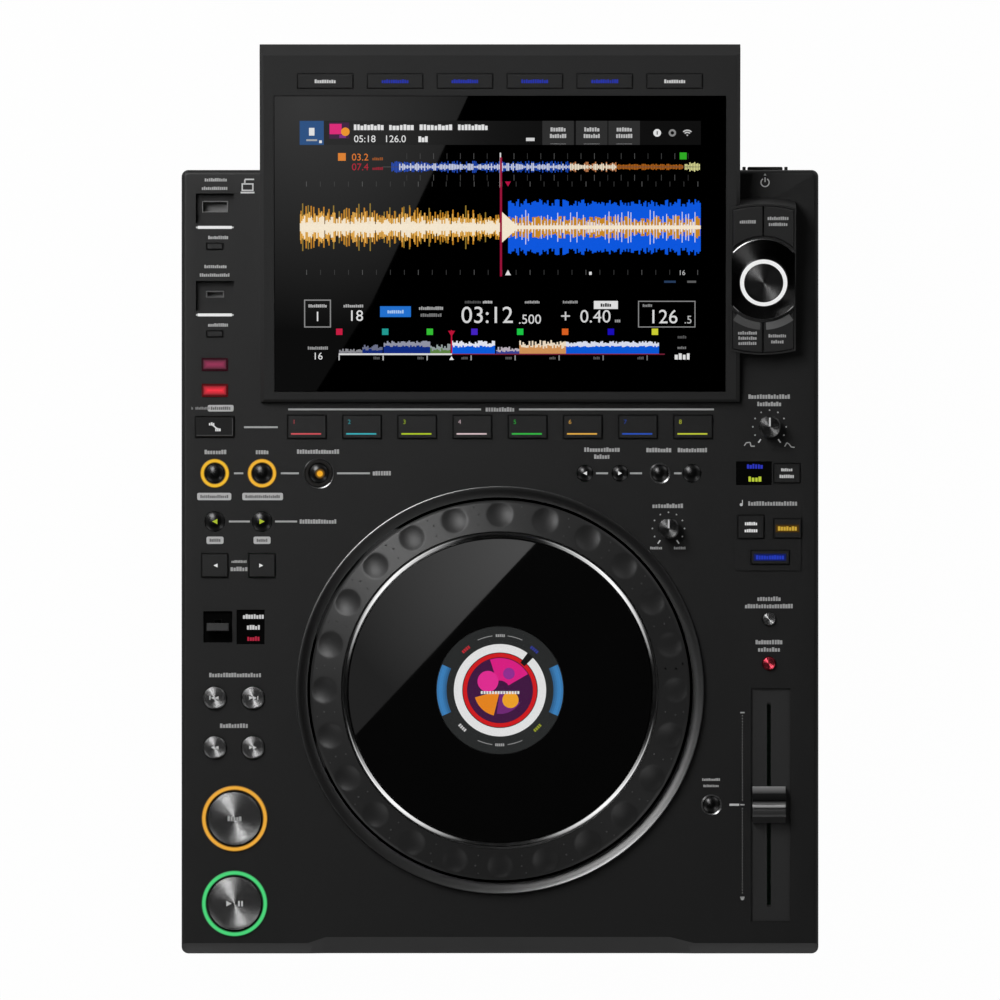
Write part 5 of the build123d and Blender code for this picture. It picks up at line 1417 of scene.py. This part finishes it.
# ---- Dotted scales ---------------------------------------------------------------------------
# Rows of small dots in the same ink as the labels: an arc of them round each knob, and a line of
# them along the tempo slider.
def dots_tree():
    """Dots along an arc, each a thin disc."""
    tree = bpy.data.node_groups.new("scale_dots", "GeometryNodeTree")
    for name, kind in (
        ("Mesh", "NodeSocketGeometry"),
        ("Count", "NodeSocketInt"),
        ("Radius", "NodeSocketFloat"),
        ("Start angle", "NodeSocketFloat"),
        ("Sweep", "NodeSocketFloat"),
        ("Dot radius", "NodeSocketFloat"),
        ("Dot height", "NodeSocketFloat"),
        ("Material", "NodeSocketMaterial"),
    ):
        tree.interface.new_socket(name, in_out="INPUT", socket_type=kind)
    tree.interface.new_socket("Mesh", in_out="OUTPUT", socket_type="NodeSocketGeometry")
    start = tree.nodes.new("NodeGroupInput").outputs
    arc = tree.nodes.new("GeometryNodeCurveArc")
    spots = tree.nodes.new("GeometryNodeCurveToPoints")
    spots.mode = "EVALUATED"
    dot = tree.nodes.new("GeometryNodeMeshCylinder")
    dot.inputs["Vertices"].default_value = 12
    placed = tree.nodes.new("GeometryNodeInstanceOnPoints")
    solid = tree.nodes.new("GeometryNodeRealizeInstances")
    coat = tree.nodes.new("GeometryNodeSetMaterial")
    end = tree.nodes.new("NodeGroupOutput")
    for first, second in (
        (start["Count"], arc.inputs["Resolution"]),
        (start["Radius"], arc.inputs["Radius"]),
        (start["Start angle"], arc.inputs["Start Angle"]),
        (start["Sweep"], arc.inputs["Sweep Angle"]),
        (start["Dot radius"], dot.inputs["Radius"]),
        (start["Dot height"], dot.inputs["Depth"]),
        (arc.outputs[0], spots.inputs[0]),
        (spots.outputs[0], placed.inputs["Points"]),
        (dot.outputs[0], placed.inputs["Instance"]),
        (placed.outputs[0], solid.inputs[0]),
        (solid.outputs[0], coat.inputs[0]),
        (start["Material"], coat.inputs["Material"]),
        (coat.outputs[0], end.inputs[0]),
    ):
        tree.links.new(first, second)
    return tree


scale_dots = dots_tree()
dots = Form(Matrix.Translation((0, 0, print_height * mm)))
knob_dots, knob_dot_radius = 9, 0.42
for knob, reach in (("jog_feel_knob", 8.3), ("vinyl_speed_knob", 8.6)):
    mesh = grown(
        "dots", scale_dots, Count=knob_dots, Radius=reach * mm, Start_angle=radians(-30),
        Sweep=radians(240), Dot_radius=knob_dot_radius * mm, Dot_height=Form.ink * mm,
        Material=print_ink,
    )
    add_mesh(dots, mesh, ink_pale, *metal_knobs[knob], Form.ink / 2)
slider_dots, slider_dot_pitch, first_dot = 62, 1.5, -111.4
for step in range(slider_dots):
    y = first_dot - slider_dot_pitch * step
    if abs(y - slider_row) > 1.2:
        dots.disc(scale_x, y, 0.32, ink_dull, parts=8)
dots.piece("scale_dots", print_ink, "console", slot="light")

# ---- Grip pips -------------------------------------------------------------------------------
# Small raised pips of a paler grey on the wheel's rubbery rim, three in each gap between two
# dimples.
pips = Form()
pip_finish = satin("pip_grey", 66, 84, 0.4)
# Each ring of pips: its radius, the turn of its first pip in degrees, and a pip's radius.
for ring_radius, shift, pip in ((86.0, 7.5, 0.42), (91.4, 7.0, 0.5), (95.2, 8.2, 0.42)):
    fall = (
        cone_top
        + (cone_foot - cone_top) * (ring_radius - cone_start) / (wheel_radius - cone_start)
    )
    mesh = grown(
        "pips", scale_dots, Count=dimple_count + 1, Radius=ring_radius * mm,
        Start_angle=radians(shift), Sweep=2 * pi,
        Dot_radius=pip * mm, Dot_height=0.5 * mm, Material=pip_finish,
    )
    add_mesh(pips, mesh, (0, 0, 0), wheel_x, wheel_y, fall)
pips.piece("jog_rim_pips", pip_finish, "jog_wheel", slot="wheel")

# ---- Lit marks on the deck -------------------------------------------------------------------
# Light bars of clear plastic under the USB bays, and the lit words in the windows beside the
# lever and the mode key.
deck_glow = glowing("deck_glow", roughness=0.3)
lights = Form(Matrix.Translation((0, 0, deck_height * mm)))
for y in (140.8, 95.6):
    lights.bar(-147.3, y, 17.6, 1.5, shade(240), -0.2, 0.12)
    lights.bar(-147.3, y, 19.4, 0.8, shade(190), -0.2, 0.1)
lever_window_x, lever_row = -128.8, -65.6
lights.bar(lever_window_x + 1.6, -71.6, 10.4, 4.0, shade((58, 8, 22)), -0.48, -0.45)
lever_words = ((-60.2, 11.0, 205), (-65.8, 7.0, 210), (-71.6, 6.6, (176, 36, 62)))
for y, width, colour in lever_words:
    blocks(lights, lever_window_x + 1.4, y, width, 2.3, shade(colour), -0.44)
mode_window_x = 131.2
blocks(lights, mode_window_x + 0.4, 17.4, 8.4, 2.4, shade((46, 56, 190)), -0.48)
blocks(lights, mode_window_x + 0.4, 10.8, 7.0, 2.6, shade((190, 208, 60)), -0.48)
lights.piece("deck_light_marks", deck_glow, "console", slot="light")

# ---- Windows ---------------------------------------------------------------------------------
# Black acrylic windows bonded into shallow recesses of the deck. The lever's own, deeper recess
# has a black floor round its slot.
window_film = (-0.49, -0.44)
lever_x = -145.7
windows = Form(Matrix.Translation((0, 0, deck_height * mm)))
windows.bar(lever_window_x, lever_row, 14.4, 17.7, black, *window_film)
for side in (-1, 1):
    windows.bar(lever_x, lever_row + side * 5.9, 14.8, 4.2, black, *recess_film)
    windows.bar(lever_x + side * 4.6, lever_row, 5.4, 7.6, black, *recess_film)
windows.bar(mode_window_x, loop_row, 18.3, 12.1, black, *window_film)
windows.piece("deck_windows", gloss_black, "console", slot="gloss")

# ---- Lamps of the red caps -------------------------------------------------------------------
# The quantize and slip caps are lit from inside: a patch on each, brightest along its middle.
# Each layer of a patch has a width, a depth and a share of the full brightness.
lamp_patches = ((11.7, 4.7, 0.6), (11.0, 3.8, 0.85), (9.6, 2.4, 1.0), (8.0, 1.0, 1.12))
for name, colour in (("quantize_button", (134, 44, 76)), ("slip_button", (222, 44, 60))):
    low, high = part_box(name)
    middle = (low + high) / 2 / mm
    patch = Form(Matrix.Translation((0, 0, high.z)))
    for step, (width, depth, level) in enumerate(lamp_patches):
        lit = shade([min(255, part * level) for part in colour])
        patch.bar(middle.x, middle.y, width, depth, lit, 0.02 * step, 0.02 * step + 0.02)
    patch.piece(f"{name}_light", deck_glow, f"{name}_body", slot="light")

# ---- Lines and numbers on the pads -----------------------------------------------------------
# Each pad is lit from inside in its own colour: a line and the pad's number show through its
# black plastic face.
pad_colours = (
    (214, 84, 92), (60, 178, 190), (178, 206, 40), (226, 200, 206),
    (56, 196, 74), (232, 176, 76), (44, 84, 190), (196, 206, 60),
)
pad_row, pad_pitch = 37.75, 28.5
for number, colour in enumerate(pad_colours):
    pad = f"hot_cue_pad_{number + 1}"
    x = (number - 3.5) * pad_pitch
    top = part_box(pad)[1].z / mm
    marks = Form(Matrix.Translation((0, 0, top * mm)))
    marks.bar(x - 0.4, pad_row - 3.6, 15.5, 0.75, shade(colour))
    dim = shade([part * 0.85 for part in colour])
    figures(marks, str(number + 1), x - 6.6, pad_row + 2.5, 2.3, dim)
    marks.piece(f"{pad}_light", deck_glow, f"{pad}_body", slot="light")

# ---- Marks on the deck's keys ----------------------------------------------------------------
# Words that show through the caps, left as blocks of (x, y, width, height, colour). Two of the
# keys have a dim coloured patch behind the word.
key_marks = {
    "jog_mode_key": [(148.1, 15.6, 6.0, 1.5, ink_pale), (148.1, 12.2, 7.6, 1.7, ink_pale)],
    "beat_sync_key": [(129.6, -12.2, 6.6, 1.7, ink_white), (129.6, -15.8, 6.8, 1.7, ink_white)],
    "master_key": [(148.4, -14.7, 10.0, 2.2, shade((208, 168, 62)))],
    "key_sync_key": [(139.4, -29.6, 14.6, 2.2, shade((40, 62, 186)))],
}
key_patches = {
    "master_key": (148.4, -14.7, 12.2, 3.8, shade((74, 52, 8))),
    "key_sync_key": (139.4, -29.6, 16.6, 3.6, shade((18, 30, 96))),
}
for name, rows_of_blocks in key_marks.items():
    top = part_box(name)[1].z / mm
    marks = Form(Matrix.Translation((0, 0, top * mm)))
    if name in key_patches:
        marks.bar(*key_patches[name], 0, 0.03)
    for x, y, width, height, colour in rows_of_blocks:
        blocks(marks, x, y, width, height, colour, 0.03)
    marks.piece(f"{name}_mark", deck_glow, f"{name}_body", slot="light")

# ---- Symbols on the caps ---------------------------------------------------------------------
# Arrows and bars that say what a cap does: in ink on the metal caps, and lit from inside on the
# black ones. On the call key, two thin lines are painted highlights along its edges.
def arrow(form, x, y, size, facing, colour, low=0.0):
    tip, back = x + facing * size * 0.5, x - facing * size * 0.5
    corners = [(back, y - size * 0.5), (tip, y), (back, y + size * 0.5)]
    form.slab(corners if facing > 0 else corners[::-1], colour, low, low + Form.ink)


def cap_marks(name, top_drop=0.0):
    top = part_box(name)[1].z / mm - top_drop
    return Form(Matrix.Translation((0, 0, top * mm)))


symbols = cap_marks("beat_jump_rocker")
for x, facing in ((left_column + 0.4, -1), (second_column - 0.4, 1)):
    arrow(symbols, x, -33.8, 2.1, facing, shade(235))
symbols.piece("beat_jump_symbols", deck_glow, "beat_jump_rocker_body", slot="light")
for name, y, double in (
    ("track_search_rocker", track_row, True), ("search_rocker", search_row, False),
):
    symbols = cap_marks(name)
    for x, facing in ((left_column, -1), (third_column, 1)):
        arrow(symbols, x - 1.0, y, 1.9, facing, shade(240))
        arrow(symbols, x + 1.0, y, 1.9, facing, shade(240))
        if double:
            symbols.bar(x + facing * 2.5, y, 0.5, 1.9, shade(240))
    symbols.piece(f"{name}_symbols", print_ink, f"{name}_body", slot="light")
for name, y, x_pair, size, colour in (
    ("cue_call_rocker", loop_row, call_columns, 2.0, shade(235)),
    ("beat_loop_rocker", beat_row, (left_column, second_column), 2.7, shade((176, 196, 50))),
):
    symbols = cap_marks(name, -0.01)
    for x, facing in zip(x_pair, (-1, 1)):
        arrow(symbols, x, y, size, facing, colour)
    symbols.piece(f"{name}_symbols", deck_glow, f"{name}_body", slot="light")
symbols = cap_marks("reloop_button", -0.01)
for step, (radius, level) in enumerate(((2.6, 0.28), (2.1, 0.5), (1.5, 1.0))):
    amber_lamp = shade([part * level for part in (252, 176, 40)])
    symbols.disc(-93.0, loop_row - 0.2, radius, amber_lamp, 0.03 * step, 0.03 * step + 0.03)
symbols.piece("reloop_lamp", deck_glow, "reloop_button_body", slot="light")
symbols = cap_marks("play_button")
arrow(symbols, transport_x - 2.8, play_row, 2.8, 1, shade(238))
symbols.bar(transport_x, play_row, 0.5, 1.2, shade(200))
for shift in (2.3, 3.9):
    symbols.bar(transport_x + shift, play_row, 0.9, 2.8, shade(238))
symbols.piece("play_symbols", print_ink, "play_button_body", slot="light")
symbols = cap_marks("cue_button")
blocks(symbols, transport_x, cue_row, 7.4, 2.6, shade(190))
symbols.piece("cue_symbols", print_ink, "cue_button_body", slot="light")
symbols = cap_marks("call_delete_key")
call_key_y = 37.8
# Two thin grey lines along the key's lower and right edges are painted highlights, glowing like its
# symbols.
symbols.bar(left_column, 33.4, 18.6, 0.35, shade(74))
symbols.bar(-138.2, call_key_y, 0.35, 8.4, shade(74))
for shift_x, shift_y in ((-1.6, 1.5), (1.6, -1.5)):
    blocks(symbols, left_column + shift_x, call_key_y + shift_y, 3.0, 1.6, shade(220))
symbols.slab([(-148.9, 38.7), (-148.3, 39.1), (-145.7, 36.9), (-146.3, 36.5)][::-1], shade(220))
symbols.piece("call_key_symbols", deck_glow, "call_delete_key_body", slot="light")

# ---- Marks on the sloping keys ---------------------------------------------------------------
# Over the display two pale words and four blue ones, lit from inside; on the island's keys words in
# ink, and a painted highlight on the lower two. The words are left as blocks.
screen_key_line, island_key_rise = 167.1, 2.0
key_spots = (-89.9, -54.0, -18.1, 17.8, 53.9, 89.9)
for number, x in enumerate(key_spots):
    name = f"screen_key_{number + 1}"
    marks = Form(on_slope(0, screen_key_line, 1.0))
    width, colour = (11.0, 205) if number in (0, 5) else (14.0, (44, 58, 176))
    blocks(marks, x, 0, width, 1.9, shade(colour))
    marks.piece(f"{name}_mark", deck_glow, f"{name}_body", slot="light")
# Each island key's words, as (x, line, width).
island_marks = {
    "back_key": [(127.6, 94.2, 8.4)],
    "tag_key": [(143.2, 96.0, 11.0), (143.2, 92.9, 9.8)],
    "filter_key": [(127.6, 36.3, 10.0), (127.6, 33.6, 9.6), (127.6, 30.9, 9.4)],
    "shortcut_key": [(143.0, 34.8, 9.2), (143.0, 31.7, 6.6)],
}
# Where the lower keys turn down to the dish, a paler band is a painted highlight: (start angle,
# sweep, level) for each.
band_inner, band_outer, band_steps = 22.3, 26.2, 12
key_painted_highlights = {"shortcut_key": (-86.5, 33.0, 112), "filter_key": (-126.5, 33.0, 84)}
for name, (start, sweep, level) in key_painted_highlights.items():
    painted_light_band = Form(on_slope(island_x, island_line, island_key_rise))
    turns = [radians(start + sweep * step / band_steps) for step in range(band_steps + 1)]
    outer_arc = [(band_outer * cos(turn), band_outer * sin(turn)) for turn in turns]
    inner_arc = [(band_inner * cos(turn), band_inner * sin(turn)) for turn in turns]
    painted_light_band.slab(outer_arc + inner_arc[::-1], shade(level), 0.0, 0.02)
    painted_light_band.piece(f"{name}_band", print_ink, f"{name}_body", slot="light")

for name, rows_of_blocks in island_marks.items():
    marks = Form(on_slope(0, 0, island_key_rise))
    for x, line, width in rows_of_blocks:
        blocks(marks, x, line, width, 1.7, ink_pale)
    marks.piece(f"{name}_mark", print_ink, f"{name}_body", slot="light")

# ---- Size ------------------------------------------------------------------------------------
# The frame's box and the finished model's box, side by side.
size = {"cad": [list(end) for end in cad_box], "visual": [list(end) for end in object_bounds()]}
